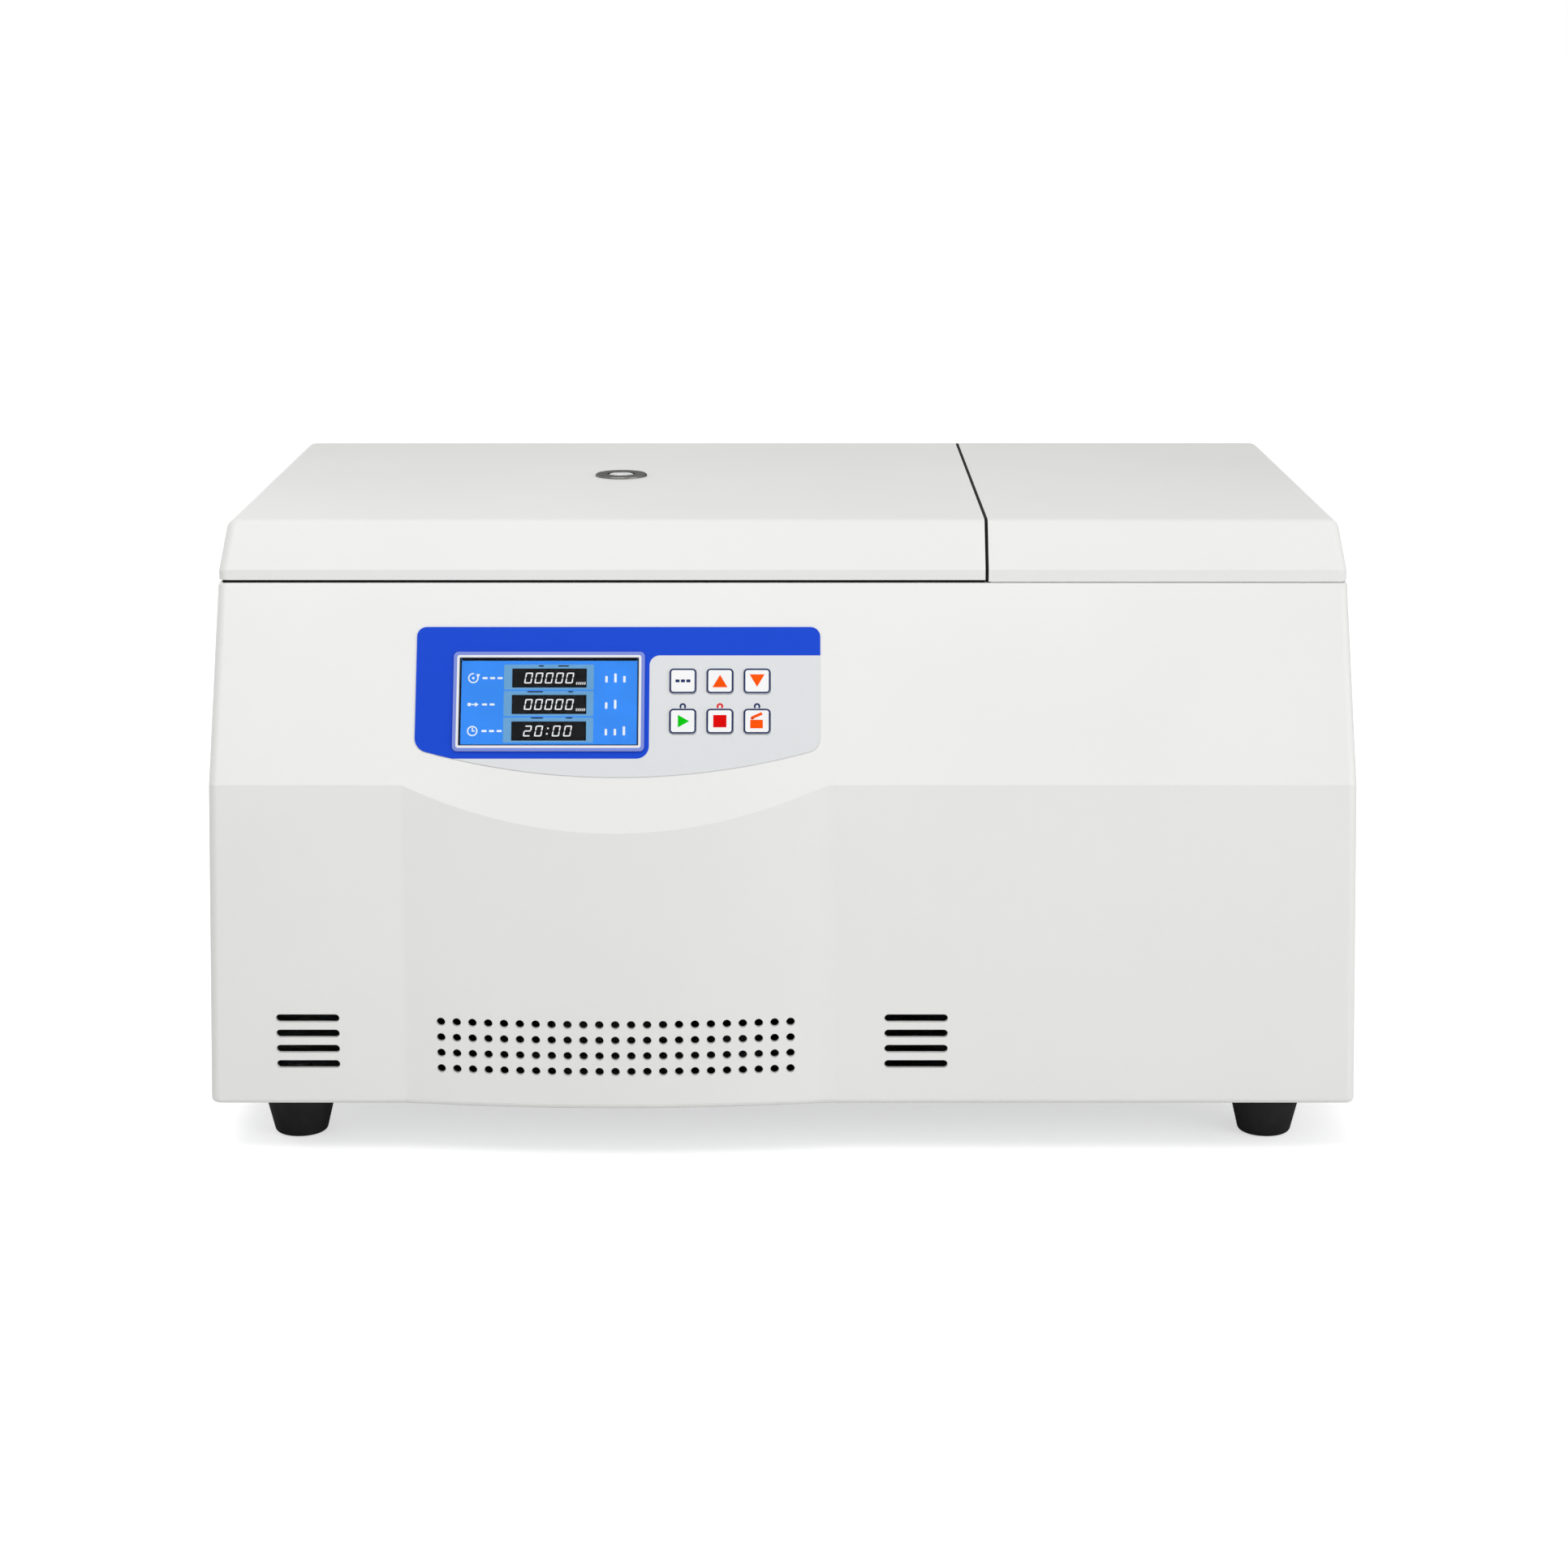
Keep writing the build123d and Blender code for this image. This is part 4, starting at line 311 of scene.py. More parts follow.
def welded(name, pieces):
    """Joins pieces into one with that name."""
    deselect()
    for piece in pieces:
        piece.select_set(True)
    bpy.context.view_layer.objects.active = pieces[0]
    bpy.ops.object.join()
    pieces[0].name = name
    return pieces[0]


def coat(piece, material):
    """Gives a new piece its material."""
    piece.data.materials.clear()
    piece.data.materials.append(material)


strip_width, strip_depth, strip_z = 0.0040, 0.0016, 0.3504
front_run = ((-0.1105, -0.2026), (0.470, strip_width))
left_run = ((-0.3435, 0.0042), (strip_width, 0.4096))
runs = []
for middle, size in (front_run, left_run):
    deselect()
    bpy.ops.mesh.primitive_cube_add(size=1.0, location=(*middle, strip_z))
    runs.append(bpy.context.object)
    runs[-1].scale = (*size, strip_depth)
    bpy.ops.object.transform_apply(location=True, rotation=False, scale=True)
# The strips' near-black is painted shade in the seams round the lid.
shade_strip_rubber = finish("shade_strip_rubber", (0.010, 0.010, 0.010), (0.006, 0.006, 0.006), 0.75, grain=1400.0, depth=0.03,
                      drift=40.0, round_edge=0.0002, specular=0.08)
deck_shade_strip = welded("deck_shade_strip", runs)
coat(deck_shade_strip, shade_strip_rubber)
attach(deck_shade_strip, "cabinet")

# The seam strip, painted shade in the seam, has the outline of the cover's left side, drawn in a little so that it
# stays below the cover's top.
cover_side, cover_foot = 0.12705, 0.3495
strip_foot, strip_thickness, strip_gap = 0.3505, 0.0013, 0.0001
drawn_in = Matrix.Diagonal((1.0, 0.998, 0.974, 1.0))
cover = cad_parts["right_cover"]
seam_shade_strip = bpy.data.objects.new("seam_shade_strip", cover.data.copy())
seam_shade_strip.data.transform(cover.matrix_world)
bpy.context.scene.collection.objects.link(seam_shade_strip)
choose(seam_shade_strip)
bpy.ops.object.mode_set(mode="EDIT")
bpy.ops.mesh.select_all(action="SELECT")
bpy.ops.mesh.remove_doubles(threshold=0.000001)
bpy.ops.mesh.select_mode(type="FACE")
bpy.ops.mesh.select_all(action="DESELECT")
shape = bmesh.from_edit_mesh(seam_shade_strip.data)
for face in shape.faces:
    face.select_set(face.normal.x > -0.99 or face.calc_center_median().x > cover_side)
bpy.ops.mesh.delete(type="FACE")
bpy.ops.mesh.select_all(action="SELECT")
bpy.ops.mesh.dissolve_limited(angle_limit=radians(1.0))
bpy.ops.mesh.select_all(action="SELECT")
bpy.ops.mesh.extrude_region_move(TRANSFORM_OT_translate={"value": (-strip_thickness, 0.0, 0.0)})
bpy.ops.mesh.select_all(action="SELECT")
bpy.ops.mesh.normals_make_consistent(inside=False)
bpy.ops.object.mode_set(mode="OBJECT")
settle(seam_shade_strip, Matrix.Translation((-strip_gap, 0.0, 0.0)))
lowered, lifted = Matrix.Translation((0.0, 0.0, -cover_foot)), Matrix.Translation((0.0, 0.0, strip_foot))
settle(seam_shade_strip, lifted @ drawn_in @ lowered)
coat(seam_shade_strip, shade_strip_rubber)
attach(seam_shade_strip, "cabinet")

# ---- Viewing port ----
# A dark polished ring, turned on a lathe, pressed into the lid round a thick clear glass.
# The glass is a plug with a rounded top, and stands almost level with the ring.
turned_lines, turned_in, turned_out = new_group("turned_lines", [("Axis x", 0.0), ("Axis y", 0.0), ("Scale", 900.0)],
                                                ["Height"])
centre = turned_lines.nodes.new("ShaderNodeCombineXYZ")
turned_lines.links.new(turned_in.outputs["Axis x"], centre.inputs["X"])
turned_lines.links.new(turned_in.outputs["Axis y"], centre.inputs["Y"])
offset = turned_lines.nodes.new("ShaderNodeVectorMath")
offset.operation = "SUBTRACT"
turned_lines.links.new(object_point(turned_lines), offset.inputs[0])
turned_lines.links.new(centre.outputs["Vector"], offset.inputs[1])
parts = turned_lines.nodes.new("ShaderNodeSeparateXYZ")
turned_lines.links.new(offset.outputs["Vector"], parts.inputs["Vector"])
flat = turned_lines.nodes.new("ShaderNodeCombineXYZ")
turned_lines.links.new(parts.outputs["X"], flat.inputs["X"])
turned_lines.links.new(parts.outputs["Y"], flat.inputs["Y"])
radius = turned_lines.nodes.new("ShaderNodeVectorMath")
radius.operation = "LENGTH"
turned_lines.links.new(flat.outputs["Vector"], radius.inputs[0])
track = turned_lines.nodes.new("ShaderNodeCombineXYZ")
turned_lines.links.new(radius.outputs["Value"], track.inputs["X"])
turned_lines.links.new(parts.outputs["Z"], track.inputs["Y"])
lines = noise(turned_lines, track.outputs["Vector"], 2.0)
turned_lines.links.new(turned_in.outputs["Scale"], lines.inputs["Scale"])
turned_lines.links.new(lines.outputs["Fac"], turned_out.inputs["Height"])


def turned_metal(name, light, dark, roughness, axis, scale=900.0, depth=0.01, drift=8.0):
    """Bare metal with fine rings round an upright axis."""
    material = finish(name, light, dark, roughness, metallic=1.0, drift=drift, round_edge=0.0003)
    tree = material.node_tree
    rings = use(tree, turned_lines, scale=scale)
    rings.inputs["Axis x"].default_value = axis[0]
    rings.inputs["Axis y"].default_value = axis[1]
    bump = next(node for node in tree.nodes if node.type == "BUMP")
    bump.inputs["Distance"].default_value = depth * mm
    tree.links.new(rings.outputs["Height"], bump.inputs["Height"])
    rough = ramp(tree, rings.outputs["Height"], 0.35, 0.65, roughness * 0.8, roughness * 1.25)
    tree.links.new(rough, tree.nodes["Principled BSDF"].inputs["Roughness"])
    return material


chamber_axis = (-0.109, -0.005)
port_steel = turned_metal("port_steel", (0.185, 0.185, 0.180), (0.140, 0.140, 0.140), 0.24, chamber_axis, 1600.0)
port_steel.node_tree.nodes["Principled BSDF"].inputs["Specular Tint"].default_value = (0.30, 0.30, 0.30, 1.0)
dress(port_steel, "viewport_ring")


def clear_material(name, tint, roughness, smear):
    """A clear plate with faint wiping marks in its gloss."""
    material = bpy.data.materials.new(name)
    material.use_nodes = True
    tree = material.node_tree
    shader = tree.nodes["Principled BSDF"]
    shader.inputs["Transmission Weight"].default_value = 1.0
    shader.inputs["IOR"].default_value = 1.46
    tone = use(tree, tone_drift, scale=60.0)
    cool = tuple(0.97 * channel for channel in tint)
    tree.links.new(mixed(tree, tone.outputs["Tone"], tint, cool), shader.inputs["Base Color"])
    tree.links.new(ramp(tree, tone.outputs["Marks"], 0.0, 1.0, roughness, roughness + smear),
                   shader.inputs["Roughness"])
    return material


port_glass = clear_material("port_glass", (0.93, 0.97, 0.96), 0.02, 0.04)
shader = port_glass.node_tree.nodes["Principled BSDF"]
shader.inputs["Transmission Weight"].default_value = 0.55
shader.inputs["IOR"].default_value = 1.70


def round_rim(piece, above, offset, segments):
    """Rounds the edges of a piece that lie above a height in its mesh."""
    choose(piece)
    bpy.ops.object.mode_set(mode="EDIT")
    bpy.ops.mesh.select_all(action="DESELECT")
    shape = bmesh.from_edit_mesh(piece.data)
    for edge in shape.edges:
        edge.select_set(all(vertex.co.z > above for vertex in edge.verts))
    bpy.ops.mesh.bevel(offset=offset, segments=segments, affect="EDGES")
    bpy.ops.object.mode_set(mode="OBJECT")


lid_top, lid_slope = 0.389042, radians(0.761)
plug_radius, plug_height, plug_middle = 0.0093, 0.0087, -0.00305
deselect()
bpy.ops.mesh.primitive_cylinder_add(vertices=64, radius=plug_radius, depth=plug_height, location=(0, 0, plug_middle))
port_lens = bpy.context.object
port_lens.name = "port_lens"
round_rim(port_lens, 0.0, 0.0024, 6)
bpy.ops.object.shade_smooth_by_angle(angle=radians(35.0))
settle(port_lens, Matrix.Translation((*chamber_axis, lid_top)) @ Matrix.Rotation(lid_slope, 4, "X"))
coat(port_lens, port_glass)
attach(port_lens, "lid")
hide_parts("viewport_glass")

# ---- Control sheet on the leaning panel ----
# One printed sheet: a blue field along the top and round the display, pale grey on the right and below.
# Places on the panel are its x, the distance up from the crease and the height off its face, in millimetres.
panel_lean = radians(24.0)
panel_foot = Vector((0.0, -0.25729, 0.2335))
up_panel = Vector((0.0, sin(panel_lean), cos(panel_lean)))

field_edge, edge_in, edge_out = new_group(
    "field_edge", [("X", 0), ("Up", 0), ("Mid x", 0), ("Mid up", 0), ("Half x", 1), ("Half up", 1), ("Corner", 0)],
    ["Mask"])


def beyond(tree, value, middle, half, corner):
    """How far a value lies outside a half width, less the corner's radius."""
    gap = calculate(tree, "ABSOLUTE", calculate(tree, "SUBTRACT", value, middle), 0.0)
    return calculate(tree, "SUBTRACT", gap, calculate(tree, "SUBTRACT", half, corner))


socket = edge_in.outputs
across = beyond(field_edge, socket["X"], socket["Mid x"], socket["Half x"], socket["Corner"])
along = beyond(field_edge, socket["Up"], socket["Mid up"], socket["Half up"], socket["Corner"])
outer_x = calculate(field_edge, "MAXIMUM", across, 0.0)
outer_up = calculate(field_edge, "MAXIMUM", along, 0.0)
square_sum = calculate(field_edge, "ADD", calculate(field_edge, "MULTIPLY", outer_x, outer_x),
                       calculate(field_edge, "MULTIPLY", outer_up, outer_up))
away = calculate(field_edge, "SQRT", square_sum, 0.0)
inner = calculate(field_edge, "MINIMUM", calculate(field_edge, "MAXIMUM", across, along), 0.0)
distance = calculate(field_edge, "SUBTRACT", calculate(field_edge, "ADD", away, inner), socket["Corner"])
field_edge.links.new(ramp(field_edge, distance, -0.00006, 0.00006, 1.0, 0.0), edge_out.inputs["Mask"])


def panel_x_and_up(tree):
    """The x and the distance up the panel of a surface point."""
    place = tree.nodes.new("ShaderNodeTexCoord")
    moved = tree.nodes.new("ShaderNodeVectorMath")
    moved.operation = "SUBTRACT"
    moved.inputs[1].default_value = panel_foot
    tree.links.new(place.outputs["Object"], moved.inputs[0])
    rise = tree.nodes.new("ShaderNodeVectorMath")
    rise.operation = "DOT_PRODUCT"
    rise.inputs[1].default_value = up_panel
    tree.links.new(moved.outputs["Vector"], rise.inputs[0])
    split = tree.nodes.new("ShaderNodeSeparateXYZ")
    tree.links.new(moved.outputs["Vector"], split.inputs["Vector"])
    return split.outputs["X"], rise.outputs["Value"]


def rounded_field(tree, x, up, left, right, low, high, corner):
    """The mask of a rounded rectangle from two lengths, with its sides in millimetres."""
    node = use(tree, field_edge)
    tree.links.new(x, node.inputs["X"])
    tree.links.new(up, node.inputs["Up"])
    values = ((left + right) / 2, (low + high) / 2, (right - left) / 2, (high - low) / 2, corner)
    for label, value in zip(("Mid x", "Mid up", "Half x", "Half up", "Corner"), values):
        node.inputs[label].default_value = value * mm
    return node.outputs["Mask"]


field_blue = (0.0075, 0.0655, 0.620)
field_grey = (0.714, 0.730, 0.744)
sheet_print = finish("sheet_print", field_blue, field_blue, 0.48, grain=2200.0, depth=0.006, drift=12.0,
                     round_edge=0.0002, specular=0.10)
tree = sheet_print.node_tree
field_split, grey_top, grey_corner, blue_foot, blue_corner = -81.6, 80.9, 6.2, 16.3, 7.8
x, up = panel_x_and_up(tree)
# The sides of the two fields that aren't given by a name lie off the sheet.
grey_right = rounded_field(tree, x, up, field_split, 300.0, -300.0, grey_top, grey_corner)
blue_left = rounded_field(tree, x, up, -600.0, field_split, blue_foot, 500.0, blue_corner)
near_corner = calculate(tree, "MULTIPLY", ramp(tree, x, -82.2 * mm, -82.0 * mm), ramp(tree, up, 60 * mm, 61 * mm))
above_grey = calculate(tree, "MULTIPLY", calculate(tree, "SUBTRACT", 1.0, grey_right), near_corner)
blue = calculate(tree, "MAXIMUM", blue_left, above_grey)
shade = use(tree, tone_drift, scale=14.0).outputs["Tone"]
grey = mixed(tree, shade, field_grey, (0.696, 0.712, 0.728))
deep = mixed(tree, shade, field_blue, (0.0060, 0.0600, 0.585))
tree.links.new(mixed(tree, blue, grey, deep), tree.nodes["Principled BSDF"].inputs["Base Color"])
dress(sheet_print, "control_overlay")


# ---- Display ----
# A raised border of satin silver plastic holds a clear bevelled pane in front of a lit screen.
# The screen glows blue, with three black rows of white digits, each on a paler plate.
def lay_over(material, mask, colour):
    """Lays a plain colour over a finish where the mask is white."""
    tree = material.node_tree
    tint = tree.nodes["Principled BSDF"].inputs["Base Color"]
    tree.links.new(mixed(tree, mask, tint.links[0].from_socket, colour), tint)


frame_satin = finish("frame_satin", (0.80, 0.81, 0.84), (0.76, 0.77, 0.80), 0.30, worn=(0.88, 0.88, 0.90),
                     grain=2400.0, depth=0.004, drift=20.0, round_edge=0.0004, rub=0.3, specular=0.15)
tree = frame_satin.node_tree
shader = tree.nodes["Principled BSDF"]
x, up = panel_x_and_up(tree)
face_sides, wall_sides = (-199.5, -86.6, 22.8, 80.9), (-198.0, -88.1, 24.3, 79.4)
flat_face = rounded_field(tree, x, up, *face_sides, 1.5)
shaded_inner_wall = rounded_field(tree, x, up, *wall_sides, 0.5)
under = shader.inputs["Base Color"].links[0].from_socket
# Outside its flat face the border is painted bluish: a painted reflection of the blue field round it.
tree.links.new(mixed(tree, flat_face, (0.200, 0.260, 0.660), under), shader.inputs["Base Color"])
# Inside the window the border's inner wall is painted near black: painted shade under its lip.
lay_over(frame_satin, shaded_inner_wall, (0.012, 0.012, 0.014))
dress(frame_satin, "display_frame")
module_case = finish("module_case", (0.050, 0.052, 0.055), (0.036, 0.037, 0.040), 0.55, worn=(0.10, 0.10, 0.10),
                     grain=1300.0, depth=0.02, drift=30.0)
dress(module_case, "display_module")

off_panel = Vector((0.0, -cos(panel_lean), sin(panel_lean)))
panel_place = Matrix.Translation(panel_foot) @ Matrix(((1, 0, 0), up_panel, off_panel)).transposed().to_4x4()
screen_middle = (-143.05, 51.85)
screen_width, screen_height = 108.4, 53.7
screen_back, screen_top, plate_top, row_top, digit_top = -0.645, -0.60, -0.55, -0.50, -0.42


def plain_plate(name, middle, width, height, bottom, top, corner=0.0, hole=None):
    """A rounded plate flat on the panel, with a rounded hole if a border is given."""
    deselect()
    bpy.ops.mesh.primitive_plane_add(size=1.0, location=(0.0, 0.0, 0.0))
    piece = bpy.context.object
    piece.name = name
    piece.scale = (width * mm, height * mm, 1.0)
    bpy.ops.object.transform_apply(location=False, rotation=False, scale=True)
    bpy.ops.object.mode_set(mode="EDIT")
    bpy.ops.mesh.select_all(action="SELECT")
    if corner:
        bpy.ops.mesh.bevel(offset=corner * mm, segments=6, affect="VERTICES")
    if hole:
        bpy.ops.mesh.select_mode(type="FACE")
        bpy.ops.mesh.select_all(action="SELECT")
        bpy.ops.mesh.inset(thickness=hole * mm, depth=0.0)
        bpy.ops.mesh.delete(type="FACE")
        bpy.ops.mesh.select_all(action="SELECT")
    bpy.ops.mesh.extrude_region_move(TRANSFORM_OT_translate={"value": (0.0, 0.0, (top - bottom) * mm)})
    bpy.ops.mesh.select_all(action="SELECT")
    bpy.ops.mesh.normals_make_consistent(inside=False)
    bpy.ops.object.mode_set(mode="OBJECT")
    settle(piece, Matrix.Translation((middle[0] * mm, middle[1] * mm, bottom * mm)))
    return piece


def shaded(colour, share):
    """A colour made darker by a share."""
    return tuple(share * channel for channel in colour)


def print_ink(name, colour, roughness=0.45):
    """A layer of ink, slightly uneven."""
    return finish(name, colour, shaded(colour, 0.92), roughness, grain=2600.0, depth=0.004, drift=70.0,
                  round_edge=0, specular=0.04)


def on_the_panel(piece, material, body="cabinet"):
    """Stands a flat piece up on the leaning panel, and gives it its ink and its body."""
    settle(piece, panel_place)
    coat(piece, material)
    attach(piece, body)


def triangle(name, middle, width, height, turn, bottom, top):
    """A solid triangle, turned on the panel; its point is up at no turn."""
    deselect()
    bpy.ops.mesh.primitive_cylinder_add(vertices=3, radius=1.0, depth=(top - bottom) * mm)
    piece = bpy.context.object
    piece.name = name
    low = min(vertex.co.y for vertex in piece.data.vertices)
    high = max(vertex.co.y for vertex in piece.data.vertices)
    wide = 2 * max(vertex.co.x for vertex in piece.data.vertices)
    centred = Matrix.Translation((0.0, -(low + high) / 2, 0.0))
    sized = Matrix.Diagonal((width * mm / wide, height * mm / (high - low), 1.0, 1.0))
    settle(piece, sized @ centred)
    settle(piece, Matrix.Rotation(turn, 4, "Z"))
    settle(piece, Matrix.Translation((middle[0] * mm, middle[1] * mm, (bottom + top) / 2 * mm)))
    return piece


def lit_layer(name, colour, strength, drift=45.0, unlit=0.06):
    """A layer of the screen: nearly black by itself, and lit from behind a little unevenly."""
    material = finish(name, shaded(colour, unlit), shaded(colour, unlit * 0.8), 0.5, grain=2600.0, depth=0.004,
                      drift=drift, round_edge=0, specular=0.1)
    tree = material.node_tree
    shader = tree.nodes["Principled BSDF"]
    spread_light = use(tree, tone_drift, scale=drift)
    level = ramp(tree, spread_light.outputs["Tone"], 0.3, 0.7)
    tree.links.new(mixed(tree, level, shaded(colour, 0.93), colour), shader.inputs["Emission Color"])
    shader.inputs["Emission Strength"].default_value = strength
    return material


screen_blue = lit_layer("screen_blue", (0.030, 0.262, 0.925), 0.97)
plate_blue = lit_layer("plate_blue", (0.150, 0.400, 0.700), 0.90)
# This black ink serves the display rows and the painted shadow round the screen.
row_and_shadow_black = print_ink("row_and_shadow_black", (0.0030, 0.0030, 0.0038), roughness=0.55)
digit_white = lit_layer("digit_white", (0.95, 0.97, 0.97), 0.93)

lit_screen = plain_plate("lit_screen", screen_middle, screen_width, screen_height, screen_back, screen_top)
on_the_panel(lit_screen, screen_blue)

row_levels = (66.9, 50.35, 33.75)
row_middle = -142.95
plates = [plain_plate("plate", (-143.3, level + 0.6), 55.0, 15.7, screen_top, plate_top, corner=0.4)
          for level in row_levels]
on_the_panel(welded("display_plates", plates), plate_blue)
blacks = [plain_plate("row", (row_middle, level), 45.7, 12.0, plate_top, row_top, corner=0.2) for level in row_levels]
# Six small dark bars lie near the top edges of the plates, above the black rows.
dark_bar_places = ((-148.0, 74.5, 3.0), (-134.5, 74.5, 6.5), (-151.6, 58.3, 9.5), (-129.8, 58.3, 3.0),
               (-150.2, 41.9, 7.5), (-130.6, 41.9, 4.0))
blacks += [plain_plate("dark_bar", (x, level), width, 0.8, plate_top, row_top, corner=0.2)
           for x, level, width in dark_bar_places]
# A black ring round the screen's edge and a wider black strip along its top are painted shadow: the shade the border's
# lip casts on the screen.
frame_shadow_face, frame_shadow_top_face = -0.45, -0.46
blacks.append(plain_plate("frame_shadow", screen_middle, screen_width, screen_height, screen_top, frame_shadow_face,
                          corner=0.8, hole=0.45))
blacks.append(plain_plate("frame_shadow_top", (screen_middle[0], 78.05), 107.2, 0.6, screen_top, frame_shadow_top_face))
on_the_panel(welded("display_rows_and_shadow", blacks), row_and_shadow_black)

digit_width, digit_height, stroke = 4.5, 6.8, 0.74
digit_slant = Matrix(((1, 0.18, 0, 0), (0, 1, 0, 0), (0, 0, 1, 0), (0, 0, 0, 1)))


def copied(piece, place):
    """A copy with a mesh of its own, moved by a matrix."""
    copy = piece.copy()
    copy.data = piece.data.copy()
    copy.data.transform(place)
    bpy.context.scene.collection.objects.link(copy)
    return copy


across_stroke = plain_plate("across", (0, 0), digit_width - stroke * 1.1, stroke, row_top, digit_top, corner=0.34)
upright_stroke = plain_plate("upright", (0, 0), stroke, digit_height / 2 - stroke * 0.75, row_top, digit_top,
                             corner=0.34)
side, rise, half = (digit_width - stroke) / 2 * mm, (digit_height - stroke) / 2 * mm, digit_height / 4 * mm
stroke_places = {
    "a": (across_stroke, 0, rise), "g": (across_stroke, 0, 0), "d": (across_stroke, 0, -rise),
    "f": (upright_stroke, -side, half), "b": (upright_stroke, side, half),
    "e": (upright_stroke, -side, -half), "c": (upright_stroke, side, -half),
}
lit_strokes = {"0": "abcdef", "2": "abged"}
count_places = (-155.7, -149.4, -143.1, -136.8, -130.5)
clock_places = ((-155.9, "2"), (-149.1, "0"), (-138.3, "0"), (-131.4, "0"))
shown = [(x, level, "0") for level in row_levels[:2] for x in count_places]
shown += [(x, row_levels[2], digit) for x, digit in clock_places]
whites = []
for x, level, digit in shown:
    for stroke_name in lit_strokes[digit]:
        stroke_piece, right, higher = stroke_places[stroke_name]
        place = Matrix.Translation((x * mm, level * mm, 0)) @ digit_slant @ Matrix.Translation((right, higher, 0))
        whites.append(copied(stroke_piece, place))
whites += [plain_plate("dot", (-143.7 + lean, row_levels[2] + lift), 1.0, 1.0, row_top, digit_top, corner=0.3)
           for lift, lean in ((1.7, 0.3), (-1.7, -0.3))]
small_bar = plain_plate("small_bar", (0, 0), 0.55, 1.7, row_top, digit_top, corner=0.2)
bar_x, bar_pitch, bar_drop = -126.2, 1.25, 3.3
for level in row_levels[:2]:
    for step in range(5):
        place = Matrix.Translation(((bar_x + bar_pitch * step) * mm, (level - bar_drop) * mm, 0)) @ digit_slant
        whites.append(copied(small_bar, place))
for spare in (across_stroke, upright_stroke, small_bar):
    bpy.data.objects.remove(spare)
on_the_panel(welded("display_digits", whites), digit_white)


def flat_ring(name, middle, radius, width, bottom, top, open_from=None, open_to=None):
    """A flat ring on the panel, with the stretch between two angles left out."""
    deselect()
    bpy.ops.mesh.primitive_circle_add(vertices=48, radius=radius * mm, fill_type="NGON")
    piece = bpy.context.object
    piece.name = name
    bpy.ops.object.mode_set(mode="EDIT")
    bpy.ops.mesh.select_mode(type="FACE")
    bpy.ops.mesh.select_all(action="SELECT")
    bpy.ops.mesh.inset(thickness=width * mm, depth=0.0)
    bpy.ops.mesh.delete(type="FACE")
    if open_from is not None:
        shape = bmesh.from_edit_mesh(piece.data)
        for face in shape.faces:
            spot = face.calc_center_median()
            turn = Vector((1.0, 0.0)).angle_signed(Vector((spot.x, spot.y))) % -tau
            face.select_set(radians(open_from) < -turn < radians(open_to))
        bpy.ops.mesh.delete(type="FACE")
    bpy.ops.mesh.select_all(action="SELECT")
    bpy.ops.mesh.extrude_region_move(TRANSFORM_OT_translate={"value": (0.0, 0.0, (top - bottom) * mm)})
    bpy.ops.mesh.select_all(action="SELECT")
    bpy.ops.mesh.normals_make_consistent(inside=False)
    bpy.ops.object.mode_set(mode="OBJECT")
    settle(piece, Matrix.Translation((middle[0] * mm, middle[1] * mm, bottom * mm)))
    return piece


sign_x = -189.6
signs = [
    flat_ring("spin_sign", (sign_x, row_levels[0]), 3.2, 0.75, screen_top, plate_top, 20.0, 80.0),
    triangle("spin_point", (sign_x + 2.9, row_levels[0] + 1.3), 2.6, 2.2, radians(180.0), screen_top, plate_top),
    plain_plate("spin_hub", (sign_x, row_levels[0]), 1.5, 1.5, screen_top, plate_top, corner=0.7),
    plain_plate("pull_dot", (sign_x - 2.2, row_levels[1]), 2.2, 2.2, screen_top, plate_top, corner=1.0),
    plain_plate("pull_line", (sign_x + 0.4, row_levels[1]), 2.6, 0.75, screen_top, plate_top, corner=0.2),
    triangle("pull_point", (sign_x + 2.5, row_levels[1]), 2.8, 2.2, radians(-90.0), screen_top, plate_top),
    flat_ring("clock_sign", (sign_x, row_levels[2]), 3.2, 0.75, screen_top, plate_top),
    plain_plate("clock_hand", (sign_x, row_levels[2] + 1.0), 0.7, 2.3, screen_top, plate_top, corner=0.2),
    plain_plate("clock_minute", (sign_x + 0.7, row_levels[2]), 2.0, 0.7, screen_top, plate_top, corner=0.2),
]
dash_x, dash_pitch, mark_x, mark_pitch, mark_drop = -182.4, 4.6, -108.0, 5.5, 2.7
for level, count in zip(row_levels, (3, 2, 3)):
    for step in range(count):
        signs.append(plain_plate("dash", (dash_x + dash_pitch * step, level), 3.1, 1.3, screen_top, plate_top,
                                 corner=0.4))
for level, heights in zip(row_levels, ((4.0, 5.6, 4.0), (4.0, 5.6), (4.0, 4.0, 5.6))):
    for step, height in enumerate(heights):
        signs.append(plain_plate("stroke", (mark_x + mark_pitch * step, level + height / 2 - mark_drop), 1.5, height,
                                 screen_top, plate_top, corner=0.4))
sign_white = lit_layer("sign_white", (0.86, 0.93, 0.97), 0.95)
on_the_panel(welded("display_signs", signs), sign_white)

pane = plain_plate("display_pane", screen_middle, 108.5, 53.8, -0.2, 1.4, corner=0.5)
round_rim(pane, 1.3 * mm, 0.4 * mm, 2)
pane_clear = clear_material("pane_clear", (0.97, 0.98, 1.0), 0.02, 0.03)
pane_clear.node_tree.nodes["Principled BSDF"].inputs["IOR"].default_value = 1.16
on_the_panel(pane, pane_clear)
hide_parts("display_window")

